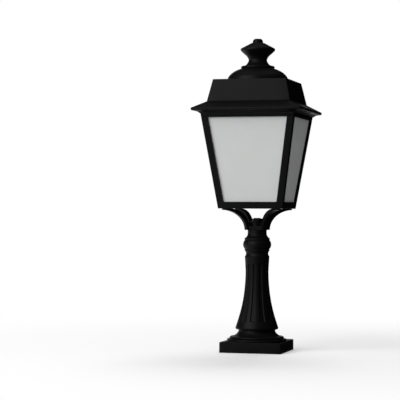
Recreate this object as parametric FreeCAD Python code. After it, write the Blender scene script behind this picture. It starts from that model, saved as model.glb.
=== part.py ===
import FreeCAD, Part
import math
import os

# Post top lantern on a short fluted pedestal column, in millimetres.
# +Z is up, -Y is the front, and the origin is the middle of the plinth's underside.
# Castings are aluminium. The plinth, column, capital and arm bracket are stacked and
# clamped by one threaded tube, which also carries the supply cable to the cage.

Vector = FreeCAD.Vector
UP = Vector(0, 0, 1)
CENTRE = Vector(0, 0, 0)

# ---------------------------------------------------------------- clearances
SLIP = 0.3            # a piece that drops into or past another of the same body
THREAD_GAP = 0.05     # radial gap between a thread and its tapped hole
HOLE_GAP = 0.3        # radial gap between a screw and a plain hole
MOVING_GAP = 0.4      # between pieces that move apart

# ---------------------------------------------------------------- plinth
PLINTH_SIDE = 160.0
PLINTH_HEIGHT = 27.0
PLINTH_WALL = 7.0
PLINTH_DECK = 6.5
TORUS_HEIGHT = 6.0
LOWER_TORUS_R = 77.0
UPPER_TORUS_R = 70.0
COVE_R = 65.5
COVE_HEIGHT = 12.5
COVE_SAG = 2.0
NECK_R = 47.5
NECK_HEIGHT = 5.5
NECK_WALL = 6.5
NECK_DECK = 7.0
ANCHOR_SPACING = 132.0
ANCHOR_R = 4.5
ANCHOR_BOSS_R = 10.0
REGISTER_WALL = 3.2
REGISTER_HEIGHT = 4.0

# ---------------------------------------------------------------- column
COLUMN_HEIGHT = 189.0
COLUMN_WALL = 5.5
COLUMN_DECK = 8.0
SKIRT_EDGE = 3.5
SKIRT_SEAT_HEIGHT = 6.0
SKIRT_R = 55.5
LIP_R = 31.8
LIP_ROUND = 1.6
# share of the column's height, radius there
COLUMN_OUTLINE = [(0.157, 47.0), (0.320, 38.9), (0.484, 33.5), (0.635, 30.7), (0.794, 29.65), (0.907, 30.7)]
FLUTE_COUNT = 12
FLUTE_ANGLE = 16.0
FLUTE_DEPTH = 2.2
FLUTE_FOOT = 20.0
FLUTE_HEAD = 20.0

# ---------------------------------------------------------------- capital
CAPITAL_FOOT_R = 28.8
CAPITAL_FOOT_HEIGHT = 11.5
RING_R = 32.4
RING_HEIGHT = 6.0
BALL_EDGE_R = 32.0
BALL_R = 36.4
BALL_HEIGHT = 23.0
BEAD_R = 32.8
BEAD_HEIGHT = 5.5
CAPITAL_COVE_HEIGHT = 11.0
CAPITAL_NECK_R = 24.5
CAPITAL_NECK_HEIGHT = 9.5
CAPITAL_BORE_R = 19.0
CAPITAL_DECK = 10.0

# ---------------------------------------------------------------- tie tube
TUBE_R = 8.0
TUBE_BORE_R = 6.0
TUBE_FOOT_BELOW_NUT = 4.0
TIE_WASHER_R = 26.0
TIE_WASHER_T = 3.0
HUB_WASHER_R = 16.5
HUB_WASHER_T = 2.0
TIE_NUT_FLATS = 24.0
TIE_NUT_HEIGHT = 8.0
BUSH_WALL = 1.7
BUSH_LENGTH = 12.0
BUSH_FLANGE_R = 9.0
BUSH_FLANGE_T = 1.6

# ---------------------------------------------------------------- arm bracket
COLLAR_R = 24.6
COLLAR_HEIGHT = 10.5
HUB_R = 20.0
HUB_HEIGHT = 19.5
ARM_COUNT = 4
ARM_WIDTH = 12.0
ARM_RISE = 55.0
ARM_FOOT_R = 35.3
ARM_REACH = 104.0
ARM_TIP_T = 3.5
ARM_INNER_END = 83.0
ARM_INNER_SPREAD = 57.0
ARM_INNER_DROP = 50.0
ARM_SCREW_REACH = 88.0
ARM_SCREW_BITE = 4.0

# ---------------------------------------------------------------- cage
CAGE_HEIGHT = 239.5
CAGE_FOOT_SIDE = 167.4
CAGE_TOP_SIDE = 241.7
LOWER_RAIL = 17.1
UPPER_RAIL = 8.3
POST_FACE = 17.3
CAGE_WALL = 4.2
CORE_SIDE = 7.8
LOWER_FLANGE = 14.0
UPPER_FLANGE = 20.0
FLANGE_T = 3.3
GUSSET = 32.0
GUSSET_SETBACK = 1.0   # keeps a gusset's edge inside the rail's leaning wall
FLOOR_T = 2.5
SEAL_T = 1.0
SEAL_HIDDEN = 0.8
PANE_T = 3.0
CLIP_T = 0.8
CLIP_WING = 8.0
CLIP_HEIGHT = 12.0
CLIP_FROM_RAIL = 25.0

# ---------------------------------------------------------------- roof
GASKET_T = 1.0
GASKET_WIDTH = 7.5
EAVE_SEAT = 9.8
EAVE_OVERLAP = 1.3
COVE_REACH = 14.7
COVE_RISE = 6.6
COVE_VIA = (0.29, 0.55)   # a point of the eave's cove, as shares of its reach and rise
EAVE_SOFFIT_RISE = 1.4
EAVE_SIDE = 282.6
EAVE_FASCIA = 5.5
EAVE_SLOPE_RISE = 18.0
EAVE_WALL = 3.5
EAVE_INNER_STEP = 4.9
EAVE_EDGE = 9.5
ROOF_FOOT_SIDE = 215.8
ROOF_TOP_SIDE = 190.7
ROOF_HEIGHT = 57.0
ROOF_WALL = 2.5
ROOF_FLANGE = 10.9
ROOF_DECK = 3.0
ROOF_SCREW_INSET = 7.4
ROOF_SCREW_SPREAD = 60.0
DOME_R = 79.0
DOME_RISE = 38.5
DOME_WALL = 2.5
DOME_LAND_R = 41.0
DOME_FOOT = 21.0
DOME_FOOT_T = 3.0
DOME_SCREW_R = 66.0

# ---------------------------------------------------------------- roof stud and finial
STUD_R = 4.0
STUD_BELOW_NUT = 3.0
STUD_IN_FINIAL = 12.0
FINIAL_BORE_DEPTH = 30.0
STUD_NUT_FLATS = 13.0
STUD_NUT_HEIGHT = 6.5
YOKE_WIDTH = 16.0
YOKE_T = 3.0
YOKE_LAP = 10.0
SEAL_WASHER_R = 38.0
SEAL_WASHER_T = 1.0
FINIAL_FLANGE_R = 43.5
FINIAL_FLANGE_T = 5.0
FINIAL_WAIST_R = 23.4
FINIAL_WAIST_RISE = 21.0
FINIAL_RIM_R = 44.6
FINIAL_RIM_RISE = 45.0
FINIAL_RIM_T = 5.5
FINIAL_CONE_RISE = 14.0
FINIAL_NUB_R = 13.4
FINIAL_NUB_TOP_R = 8.5
FINIAL_NUB_HEIGHT = 11.0
FINIAL_NUB_BARREL = 0.4
FINIAL_NUB_STEP = 1.0
FINIAL_CONE_TOP_R = 17.4
FINIAL_FLANGE_LAND = 2.0
FINIAL_FLANGE_ROUND = 3.0
FINIAL_FLANGE_BULGE = 0.9
FINIAL_NECK_SETBACK = 7.0
FINIAL_NECK_SAG = (2.2, 1.6)
FINIAL_HEAD_VIA = (2.4, 5.5)
FINIAL_HEAD_SHARE = 0.6
FINIAL_RIM_SOFTEN = (0.4, 0.8)

# ---------------------------------------------------------------- lamp gear
HOLDER_R = 21.0
HOLDER_HEIGHT = 40.0
HOLDER_FLOOR = 12.0
SHELL_R = 14.0
SHELL_WALL = 0.55
SHELL_HEIGHT = 24.0
CONTACT_R = 4.0
CONTACT_T = 2.0
LAMP_CAP_R = 13.05
LAMP_CAP_HEIGHT = 26.0
BULB_R = 30.0
BULB_HEIGHT = 80.0
BULB_NECK_R = 14.0
BULB_SHOULDER_ANGLE = 40.0
BRIDGE_WIDTH = 16.0
BRIDGE_T = 2.0
BRIDGE_RISE = 14.0
BRIDGE_HALF = 26.0
BRIDGE_FOOT = 12.0
BLOCK_X = -48.0
BLOCK_SIZE = (16.0, 38.0, 15.0)
TERMINAL_PITCH = 12.0
TERMINAL_R = 2.2
TERMINAL_DEPTH = 5.0
TERMINAL_SINK = 1.0
GLAND_Y = 40.0
GLAND_R = 8.0
GLAND_FLATS = 20.0
GLAND_HEX_HEIGHT = 8.0
GLAND_CAP_R = 9.0
GLAND_CAP_HEIGHT = 12.0
GLAND_NUT_T = 2.8
CABLE_R = 4.3
LEAD_R = 1.2
LEAD_RISE = 7.0
LEAD_BEND_R = 5.0
EARTH_GAP = 19.0

# ---------------------------------------------------------------- screws: radius, head radius, head height
M3 = (1.5, 2.75, 1.6)
M4 = (2.0, 3.5, 2.2)
M5 = (2.5, 4.25, 2.8)
SCREW_BITE = 8.0
SOCKET_DEPTH = 0.5     # share of the head's height
SOCKET_WIDTH = 0.7     # share of the shank's radius
NUT_CHAMFER = 0.6      # share of the nut's corner that is turned off

# ---------------------------------------------------------------- heights worked out from the sizes above
LOWER_TORUS_TOP = PLINTH_HEIGHT + TORUS_HEIGHT
UPPER_TORUS_TOP = LOWER_TORUS_TOP + TORUS_HEIGHT
COVE_TOP = UPPER_TORUS_TOP + COVE_HEIGHT
NECK_TOP = COVE_TOP + NECK_HEIGHT
COLUMN_TOP = NECK_TOP + COLUMN_HEIGHT
CAPITAL_RING_FOOT = COLUMN_TOP + CAPITAL_FOOT_HEIGHT
BALL_FOOT = CAPITAL_RING_FOOT + RING_HEIGHT
BALL_TOP = BALL_FOOT + BALL_HEIGHT
BEAD_TOP = BALL_TOP + BEAD_HEIGHT
CAPITAL_NECK_FOOT = BEAD_TOP + CAPITAL_COVE_HEIGHT
CAPITAL_TOP = CAPITAL_NECK_FOOT + CAPITAL_NECK_HEIGHT
HUB_TOP = CAPITAL_TOP + HUB_HEIGHT
CAGE_FOOT = CAPITAL_TOP + ARM_RISE
CAGE_TOP = CAGE_FOOT + CAGE_HEIGHT
WINDOW_FOOT = CAGE_FOOT + LOWER_RAIL
WINDOW_TOP = CAGE_TOP - UPPER_RAIL
FLOOR_FOOT = CAGE_FOOT + FLANGE_T
FLOOR_TOP = FLOOR_FOOT + FLOOR_T
PANE_TOP = CAGE_TOP - FLANGE_T - SLIP
EAVE_FOOT = CAGE_TOP + GASKET_T
EAVE_TIP_FOOT = EAVE_FOOT + COVE_RISE + EAVE_SOFFIT_RISE
EAVE_TIP_TOP = EAVE_TIP_FOOT + EAVE_FASCIA
ROOF_FOOT = EAVE_TIP_TOP + EAVE_SLOPE_RISE
ROOF_TOP = ROOF_FOOT + ROOF_HEIGHT
DOME_TOP = ROOF_TOP + DOME_RISE * math.sqrt(1 - (DOME_LAND_R / DOME_R) ** 2)
FINIAL_FOOT = DOME_TOP + SEAL_WASHER_T
BRIDGE_TOP = FLOOR_TOP + BRIDGE_RISE
HOLDER_SEAT = BRIDGE_TOP + HOLDER_FLOOR
LAMP_FOOT = HOLDER_SEAT + CONTACT_T + SLIP

CAGE_LEAN = (CAGE_TOP_SIDE - CAGE_FOOT_SIDE) / 2 / CAGE_HEIGHT
CORE_INSET = CAGE_WALL + CORE_SIDE


# ---------------------------------------------------------------- building helpers
def cage_half(z):
    """Half the cage's outer side at height z."""
    return CAGE_FOOT_SIDE / 2 + CAGE_LEAN * (z - CAGE_FOOT)


def outline_edges(points):
    """Edges of an outline of (r, z) points. A point of two pairs is an arc: through, end."""
    edges = []
    start = Vector(points[0][0], 0, points[0][1])
    for point in points[1:]:
        if isinstance(point[0], tuple):
            through = Vector(point[0][0], 0, point[0][1])
            end = Vector(point[1][0], 0, point[1][1])
            edges.append(Part.Arc(start, through, end).toShape())
        else:
            end = Vector(point[0], 0, point[1])
            edges.append(Part.LineSegment(start, end).toShape())
        start = end
    return edges


def closed_face(edges):
    """A face from a chain of edges, closed by a straight line if it is open."""
    wire = Part.Wire(edges)
    if not wire.isClosed():
        ends = [wire.OrderedVertexes[-1].Point, wire.OrderedVertexes[0].Point]
        wire = Part.Wire(edges + [Part.LineSegment(ends[0], ends[1]).toShape()])
    return Part.Face(wire)


def turned(points):
    """A solid turned about Z from an outline of (r, z) points."""
    return closed_face(outline_edges(points)).revolve(CENTRE, UP, 360)


def square_turned(points):
    """A square solid whose half side follows an outline of (half, z) points from the axis."""
    face = closed_face(outline_edges(points))
    reach = 2 * max(face.BoundBox.XMax, 1.0)
    half = face.extrude(Vector(0, 2 * reach, 0))
    half.translate(Vector(0, -reach, 0))
    ridge = half.fuse(half.rotated(CENTRE, UP, 180)).removeSplitter()
    return ridge.common(ridge.rotated(CENTRE, UP, 90)).Solids[0]


def polyhedron(lower, upper):
    """A solid between two like rings of points, with flat sides."""
    count = len(lower)
    rings = [list(reversed(lower)), list(upper)]
    for i in range(count):
        j = (i + 1) % count
        rings.append([lower[i], lower[j], upper[j], upper[i]])
    faces = [Part.Face(Part.makePolygon(ring + ring[:1])) for ring in rings]
    solid = Part.Solid(Part.Shell(faces))
    if solid.Volume < 0:
        solid.reverse()
    return solid


def leaning_prism(section, z_low, z_high):
    """A prism whose section, a function of the cage's half side, follows the leaning cage."""
    rings = []
    for z in (z_low, z_high):
        rings.append([Vector(x, y, z) for x, y in section(cage_half(z))])
    return polyhedron(rings[0], rings[1])


def leaning_square(z_low, z_high, inset):
    """The cage's own leaning square block, drawn in by inset on every side."""
    def section(half):
        side = half - inset
        return [(-side, -side), (side, -side), (side, side), (-side, side)]
    return leaning_prism(section, z_low, z_high)


def square_plate(half, z_low, z_high):
    """An upright square block about the Z axis."""
    return Part.makeBox(2 * half, 2 * half, z_high - z_low, Vector(-half, -half, z_low))


def tube(outer_r, inner_r, z_low, z_high, x=0.0, y=0.0):
    """An upright round tube, or a rod where the inner radius is 0."""
    solid = Part.makeCylinder(outer_r, z_high - z_low, Vector(x, y, z_low))
    if inner_r > 0:
        solid = solid.cut(Part.makeCylinder(inner_r, z_high - z_low, Vector(x, y, z_low)))
    return solid


def hexagon(flats, z_low, z_high, x=0.0, y=0.0):
    """An upright hexagonal prism, measured across its flats."""
    corner = flats / math.sqrt(3)
    ring = []
    for i in range(7):
        turn = math.radians(60 * i)
        ring.append(Vector(x + corner * math.cos(turn), y + corner * math.sin(turn), z_low))
    return Part.Face(Part.makePolygon(ring)).extrude(Vector(0, 0, z_high - z_low))


def hex_nut(flats, bore_r, z_low, z_high, x=0.0, y=0.0):
    """A hexagon nut with its corners turned off and its bore."""
    blank = hexagon(flats, z_low, z_high, x, y)
    corner = flats / math.sqrt(3)
    turn_off = (corner - flats / 2) * NUT_CHAMFER
    round_off = turned([(0, z_low), (corner - turn_off, z_low), (corner, z_low + turn_off),
                        (corner, z_high - turn_off), (corner - turn_off, z_high), (0, z_high)])
    round_off.translate(Vector(x, y, 0))
    return blank.common(round_off).cut(tube(bore_r, 0, z_low, z_high, x, y))


def screw(size, length, seat, into=Vector(0, 0, -1)):
    """A socket screw: its head's underside is at seat and its shank runs along into."""
    shank_r, head_r, head_height = size
    shank = Part.makeCylinder(shank_r, length, seat, into)
    head = Part.makeCylinder(head_r, head_height, seat, -into)
    body = shank.fuse(head).removeSplitter()
    socket_depth = head_height * SOCKET_DEPTH
    socket_foot = seat - into * (head_height - socket_depth)
    return body.cut(Part.makeCylinder(shank_r * SOCKET_WIDTH, socket_depth, socket_foot, -into))


def around(shape, count=4):
    """Copies of a shape at even turns about the Z axis."""
    return [shape.rotated(CENTRE, UP, i * 360.0 / count) for i in range(count)]


def cut_all(shape, tools):
    """A shape with every tool cut from it."""
    return shape.cut(Part.makeCompound(tools))


def single(shape):
    """The one solid in a result, so that a piece that fell apart is noticed."""
    solids = shape.Solids
    if len(solids) != 1:
        raise ValueError("expected one solid, got %d" % len(solids))
    return solids[0]


# ---------------------------------------------------------------- plinth and column
def base_plinth():
    """Square plinth casting, hollow below, with its mouldings and neck."""
    block = square_plate(PLINTH_SIDE / 2, 0, PLINTH_HEIGHT)
    torus_half = TORUS_HEIGHT / 2
    cove_middle = ((COVE_R + NECK_R) / 2 - COVE_SAG, (UPPER_TORUS_TOP + COVE_TOP) / 2 - COVE_SAG)
    register_r = NECK_R - REGISTER_WALL
    mouldings = turned([
        (0, PLINTH_HEIGHT - PLINTH_DECK),
        (LOWER_TORUS_R - torus_half, PLINTH_HEIGHT - PLINTH_DECK),
        (LOWER_TORUS_R - torus_half, PLINTH_HEIGHT),
        ((LOWER_TORUS_R, PLINTH_HEIGHT + torus_half), (LOWER_TORUS_R - torus_half, LOWER_TORUS_TOP)),
        (UPPER_TORUS_R - torus_half, LOWER_TORUS_TOP),
        ((UPPER_TORUS_R, LOWER_TORUS_TOP + torus_half), (UPPER_TORUS_R - torus_half, UPPER_TORUS_TOP)),
        (COVE_R, UPPER_TORUS_TOP),
        (cove_middle, (NECK_R, COVE_TOP)),
        (NECK_R, NECK_TOP),
        (register_r, NECK_TOP),
        (register_r, NECK_TOP + REGISTER_HEIGHT),
        (0, NECK_TOP + REGISTER_HEIGHT)])
    hollow_top = NECK_TOP - NECK_DECK
    hollow_r = NECK_R - NECK_WALL
    hollow = square_plate(PLINTH_SIDE / 2 - PLINTH_WALL, 0, PLINTH_HEIGHT - PLINTH_DECK)
    hollow = hollow.fuse(tube(hollow_r, 0, 0, hollow_top))
    body = block.fuse(mouldings).cut(hollow)
    body = body.cut(tube(register_r - REGISTER_WALL, 0, NECK_TOP, NECK_TOP + REGISTER_HEIGHT))
    reach = ANCHOR_SPACING / 2
    for x in (-reach, reach):
        for y in (-reach, reach):
            body = body.fuse(tube(ANCHOR_BOSS_R, 0, 0, PLINTH_HEIGHT, x, y))
            body = body.cut(tube(ANCHOR_R, 0, 0, PLINTH_HEIGHT, x, y))
    body = body.common(square_plate(PLINTH_SIDE / 2, 0, NECK_TOP + REGISTER_HEIGHT))
    body = body.cut(tube(TUBE_R + SLIP, 0, 0, NECK_TOP + REGISTER_HEIGHT))
    return single(body.removeSplitter())


def column_curve(inset):
    """The column's side as one smooth curve, drawn in by inset."""
    points = [Vector(SKIRT_R - inset, 0, NECK_TOP + SKIRT_EDGE)]
    for share, radius in COLUMN_OUTLINE:
        points.append(Vector(radius - inset, 0, NECK_TOP + share * COLUMN_HEIGHT))
    points.append(Vector(LIP_R - inset, 0, COLUMN_TOP - LIP_ROUND))
    curve = Part.BSplineCurve()
    curve.interpolate(points)
    return curve.toShape()


def column_solid(inset, edge_r, z_low, z_high):
    """The column's form about its side curve, closed at both ends."""
    curve = column_curve(inset)
    foot = curve.Vertexes[0].Point
    head = curve.Vertexes[-1].Point
    edges = [
        Part.LineSegment(Vector(0, 0, z_low), Vector(edge_r - inset, 0, z_low)).toShape(),
        Part.LineSegment(Vector(edge_r - inset, 0, z_low), foot).toShape(),
        curve,
        Part.LineSegment(head, Vector(head.x - LIP_ROUND, 0, z_high)).toShape(),
        Part.LineSegment(Vector(head.x - LIP_ROUND, 0, z_high), Vector(0, 0, z_high)).toShape()]
    return closed_face(edges).revolve(CENTRE, UP, 360)


def flute_cutter():
    """One flute: a sector between the column's side and the flute's depth."""
    low = NECK_TOP + FLUTE_FOOT
    high = COLUMN_TOP - FLUTE_HEAD
    outer = column_solid(-FLUTE_DEPTH, SKIRT_R, NECK_TOP, COLUMN_TOP)
    inner = column_solid(FLUTE_DEPTH, SKIRT_R, NECK_TOP, COLUMN_TOP)
    reach = SKIRT_R + 2 * FLUTE_DEPTH
    wedge_face = closed_face(outline_edges([(0, low), (reach, low), (reach, high), (0, high)]))
    wedge = wedge_face.revolve(CENTRE, UP, FLUTE_ANGLE)
    wedge = wedge.rotated(CENTRE, UP, -90 - FLUTE_ANGLE / 2)
    return wedge.common(outer.cut(inner))


def column_shaft():
    """Bell-shaped column casting with flutes, a plain band and a lip."""
    body = column_solid(0, SKIRT_R - SKIRT_EDGE / 2, NECK_TOP, COLUMN_TOP)
    body = cut_all(body, around(flute_cutter(), FLUTE_COUNT))
    hollow = column_solid(COLUMN_WALL, SKIRT_R, NECK_TOP, COLUMN_TOP)
    hollow = hollow.common(tube(SKIRT_R, 0, NECK_TOP + SKIRT_SEAT_HEIGHT, COLUMN_TOP - COLUMN_DECK))
    body = body.cut(hollow)
    body = body.cut(tube(NECK_R - REGISTER_WALL + SLIP, 0, NECK_TOP, NECK_TOP + SKIRT_SEAT_HEIGHT))
    body = body.cut(tube(CAPITAL_BORE_R + SLIP, 0, COLUMN_TOP - REGISTER_HEIGHT, COLUMN_TOP))
    body = body.cut(tube(TUBE_R + SLIP, 0, NECK_TOP, COLUMN_TOP))
    return single(body)


def capital():
    """Turned capital casting: foot, ring, ball, bead, cove and neck, hollow inside."""
    ring_half = RING_HEIGHT / 2
    bead_half = BEAD_HEIGHT / 2
    body = turned([
        (0, COLUMN_TOP - REGISTER_HEIGHT + SLIP),
        (CAPITAL_BORE_R, COLUMN_TOP - REGISTER_HEIGHT + SLIP),
        (CAPITAL_BORE_R, COLUMN_TOP),
        (CAPITAL_FOOT_R + LIP_ROUND, COLUMN_TOP),
        ((CAPITAL_FOOT_R, COLUMN_TOP + CAPITAL_FOOT_HEIGHT / 2),
         (CAPITAL_FOOT_R + LIP_ROUND, CAPITAL_RING_FOOT)),
        (RING_R - ring_half, CAPITAL_RING_FOOT),
        ((RING_R, CAPITAL_RING_FOOT + ring_half), (RING_R - ring_half / 2, BALL_FOOT)),
        (BALL_EDGE_R, BALL_FOOT),
        ((BALL_R, (BALL_FOOT + BALL_TOP) / 2), (BALL_EDGE_R, BALL_TOP)),
        (BEAD_R - bead_half / 2, BALL_TOP),
        ((BEAD_R, BALL_TOP + bead_half), (BEAD_R - bead_half / 2, BEAD_TOP)),
        (((BEAD_R + CAPITAL_NECK_R) / 2 - COVE_SAG, BEAD_TOP + CAPITAL_COVE_HEIGHT / 2 - COVE_SAG / 2),
         (CAPITAL_NECK_R, CAPITAL_NECK_FOOT)),
        (CAPITAL_NECK_R, CAPITAL_TOP),
        (0, CAPITAL_TOP)])
    body = body.cut(tube(CAPITAL_BORE_R - REGISTER_WALL, 0, 0, CAPITAL_TOP - CAPITAL_DECK))
    body = body.cut(tube(TUBE_R + SLIP, 0, 0, CAPITAL_TOP))
    return single(body)


# ---------------------------------------------------------------- tie tube and its fastenings
TIE_WASHER_TOP = NECK_TOP - NECK_DECK
TIE_NUT_TOP = TIE_WASHER_TOP - TIE_WASHER_T
TUBE_FOOT = TIE_NUT_TOP - TIE_NUT_HEIGHT - TUBE_FOOT_BELOW_NUT
HUB_NUT_FOOT = HUB_TOP + HUB_WASHER_T
TUBE_TOP = HUB_NUT_FOOT + TIE_NUT_HEIGHT


def edge_bush(mouth_z, direction):
    """Insulating bush pushed into one end of the tube, with a flange at the mouth."""
    sleeve = Part.makeCylinder(TUBE_BORE_R, BUSH_LENGTH, Vector(0, 0, mouth_z), UP * -direction)
    flange = Part.makeCylinder(BUSH_FLANGE_R, BUSH_FLANGE_T, Vector(0, 0, mouth_z), UP * direction)
    bore_r = TUBE_BORE_R - BUSH_WALL
    foot = Vector(0, 0, mouth_z - direction * BUSH_LENGTH)
    bore = Part.makeCylinder(bore_r, BUSH_LENGTH + BUSH_FLANGE_T, foot, UP * direction)
    return single(sleeve.fuse(flange).cut(bore).removeSplitter())


# ---------------------------------------------------------------- arm bracket
def arm():
    """One curved arm in the XZ plane: elliptic outer and inner edges, flat foot and head."""
    outer_a = ARM_REACH + ARM_TIP_T / 2 - ARM_FOOT_R
    outer_b = ARM_RISE - ARM_TIP_T
    outer_centre = Vector(ARM_FOOT_R + outer_a, 0, CAPITAL_TOP)
    outer = Part.Ellipse(outer_centre + Vector(-outer_a, 0, 0),
                         outer_centre + Vector(0, 0, outer_b), outer_centre)
    outer_end = math.acos((outer_centre.x - ARM_REACH) / outer_a)
    outer_edge = Part.ArcOfEllipse(outer, 0, outer_end).toShape()
    inner_centre = Vector(ARM_INNER_END, 0, CAGE_FOOT - ARM_INNER_DROP)
    inner = Part.Ellipse(inner_centre + Vector(-ARM_INNER_SPREAD, 0, 0),
                         inner_centre + Vector(0, 0, ARM_INNER_DROP), inner_centre)
    inner_start = math.asin((HUB_TOP - inner_centre.z) / ARM_INNER_DROP)
    inner_edge = Part.ArcOfEllipse(inner, inner_start, math.pi / 2).toShape()
    tip = outer.value(outer_end)
    inner_foot = inner.value(inner_start)
    corners = [
        inner_foot,
        Vector(0, 0, HUB_TOP),
        Vector(0, 0, CAPITAL_TOP),
        Vector(ARM_FOOT_R, 0, CAPITAL_TOP)]
    edges = [Part.LineSegment(a, b).toShape() for a, b in zip(corners[:-1], corners[1:])]
    edges.append(outer_edge)
    head = [tip, Vector(ARM_REACH, 0, CAGE_FOOT), Vector(ARM_INNER_END, 0, CAGE_FOOT)]
    edges += [Part.LineSegment(a, b).toShape() for a, b in zip(head[:-1], head[1:])]
    edges.append(inner_edge)
    face = Part.Face(Part.Wire(Part.__sortEdges__(edges)))
    solid = face.extrude(Vector(0, ARM_WIDTH, 0))
    solid.translate(Vector(0, -ARM_WIDTH / 2, 0))
    return solid


def arm_screw_places():
    """Where the screws from the cage floor enter the arms."""
    place = Vector(ARM_SCREW_REACH, 0, FLOOR_TOP)
    turns = [45 + i * 360.0 / ARM_COUNT for i in range(ARM_COUNT)]
    return [FreeCAD.Rotation(UP, turn).multVec(place) for turn in turns]


def arm_bracket():
    """Hub and four arms in one casting, from the capital to the cage's corners."""
    body = tube(HUB_R, 0, CAPITAL_TOP, HUB_TOP)
    body = body.fuse(tube(COLLAR_R, 0, CAPITAL_TOP, CAPITAL_TOP + COLLAR_HEIGHT))
    first = arm().rotated(CENTRE, UP, 45)
    body = body.fuse(around(first, ARM_COUNT)).removeSplitter()
    body = body.cut(tube(TUBE_R + SLIP, 0, CAPITAL_TOP, HUB_TOP))
    for place in arm_screw_places():
        body = body.cut(tube(M5[0] + THREAD_GAP, 0, CAGE_FOOT - ARM_SCREW_BITE, CAGE_FOOT, place.x, place.y))
    return single(body)


# ---------------------------------------------------------------- cage
def post_screw_offset(z):
    """Distance of a post screw's axis from both middle planes, at the joint height z."""
    return cage_half(z) - CAGE_WALL - CORE_SIDE / 2


def core_section(half):
    """The square core inside a corner, lapped into the wall."""
    inner = half - CORE_INSET
    outer = half - CAGE_WALL / 2
    return [(inner, inner), (outer, inner), (outer, outer), (inner, outer)]


def rail_ring(z_low, z_high, flange_low, flange_high, flange_width):
    """A leaning square rail with an inward flange and a screw core in each corner."""
    ring = leaning_square(z_low, z_high, 0).cut(leaning_square(z_low, z_high, CAGE_WALL))
    flange_half = cage_half(flange_low) - flange_width
    flange = leaning_square(flange_low, flange_high, CAGE_WALL / 2)
    flange = flange.cut(square_plate(flange_half, flange_low, flange_high))
    cores = around(leaning_prism(core_section, z_low, z_high))
    return ring.fuse([flange] + cores)


def bottom_frame():
    """Lower rail of the cage, with flange, corner gussets and screw holes."""
    body = rail_ring(CAGE_FOOT, WINDOW_FOOT, CAGE_FOOT, FLOOR_FOOT, LOWER_FLANGE)
    corner = cage_half(CAGE_FOOT)
    side = GUSSET - GUSSET_SETBACK
    gusset = Part.makeBox(side, side, FLANGE_T, Vector(corner - GUSSET, corner - GUSSET, CAGE_FOOT))
    body = body.fuse(around(gusset)).removeSplitter()
    offset = post_screw_offset(WINDOW_FOOT)
    hole = tube(M4[0] + HOLE_GAP, 0, CAGE_FOOT, WINDOW_FOOT, offset, offset)
    recess = tube(M4[1] + HOLE_GAP, 0, CAGE_FOOT, CAGE_FOOT + 2 * M4[2], offset, offset)
    body = cut_all(body, around(hole.fuse(recess)))
    holes = [tube(M5[0] + HOLE_GAP, 0, CAGE_FOOT, FLOOR_FOOT, p.x, p.y) for p in arm_screw_places()]
    return single(cut_all(body, holes))


def top_frame():
    """Upper rail of the cage, with the flange that carries the roof and the yoke."""
    body = rail_ring(WINDOW_TOP, CAGE_TOP, CAGE_TOP - FLANGE_T, CAGE_TOP, UPPER_FLANGE).removeSplitter()
    offset = post_screw_offset(WINDOW_TOP)
    hole = tube(M4[0] + HOLE_GAP, 0, WINDOW_TOP, CAGE_TOP, offset, offset)
    recess = tube(M4[1] + HOLE_GAP, 0, CAGE_TOP - M4[2] - SLIP, CAGE_TOP, offset, offset)
    body = cut_all(body, around(hole.fuse(recess)))
    tapped = [tube(M4[0] + THREAD_GAP, 0, CAGE_TOP - FLANGE_T, CAGE_TOP, x, 0) for x in yoke_screw_places()]
    return single(cut_all(body, tapped))


def post_section(half):
    """A corner post's section: two face legs and a square core behind their corner."""
    face = half - POST_FACE
    leg = half - CAGE_WALL
    core = half - CORE_INSET
    return [(face, half), (face, leg), (core, leg), (core, core), (leg, core), (leg, face), (half, face),
            (half, half)]


def clip_heights():
    """Middle heights of the pane clips."""
    return [WINDOW_FOOT + CLIP_FROM_RAIL, WINDOW_TOP - CLIP_FROM_RAIL]


def clip_section(half):
    """A strap's section at the first corner: a wing on each pane and a bend past the core."""
    pane = half - CAGE_WALL - SEAL_T - PANE_T
    bend = 2 * (half - CORE_INSET) - SLIP - pane
    end = bend - CLIP_WING
    near = pane - CLIP_T
    shift = CLIP_T * (math.sqrt(2) - 1)
    return [(end, pane), (bend, pane), (pane, bend), (pane, end), (near, end), (near, bend - shift),
            (bend - shift, near), (end, near)]


def clip_screw_line(z):
    """Seat and direction of a clip's screw: square to the strap, into the post's core."""
    half = cage_half(z)
    into = Vector(1, 1, -2 * CAGE_LEAN)
    into.normalize()
    inner = half - CORE_INSET - SLIP / 2
    seat = Vector(inner, inner, z) - into * CLIP_T
    return seat, into


def corner_posts():
    """Four leaning corner posts, tapped for the frames' screws and the pane clips."""
    post = leaning_prism(post_section, WINDOW_FOOT, WINDOW_TOP)
    foot = post_screw_offset(WINDOW_FOOT)
    head = post_screw_offset(WINDOW_TOP)
    tools = [
        tube(M4[0] + THREAD_GAP, 0, WINDOW_FOOT, WINDOW_FOOT + SCREW_BITE, foot, foot),
        tube(M4[0] + THREAD_GAP, 0, WINDOW_TOP - SCREW_BITE, WINDOW_TOP, head, head)]
    for z in clip_heights():
        seat, into = clip_screw_line(z)
        tools.append(Part.makeCylinder(M3[0] + THREAD_GAP, SCREW_BITE, seat, into))
    return around(single(cut_all(post, tools)))


def post_screws():
    """Screws up through the lower rail and down through the upper one, into the posts."""
    foot = post_screw_offset(WINDOW_FOOT)
    head = post_screw_offset(WINDOW_TOP)
    low_seat = CAGE_FOOT + 2 * M4[2]
    high_seat = CAGE_TOP - M4[2] - SLIP
    low = screw(M4, WINDOW_FOOT + SCREW_BITE - SLIP - low_seat, Vector(foot, foot, low_seat), UP)
    high = screw(M4, high_seat - WINDOW_TOP + SCREW_BITE - SLIP, Vector(head, head, high_seat))
    return around(low), around(high)


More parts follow.
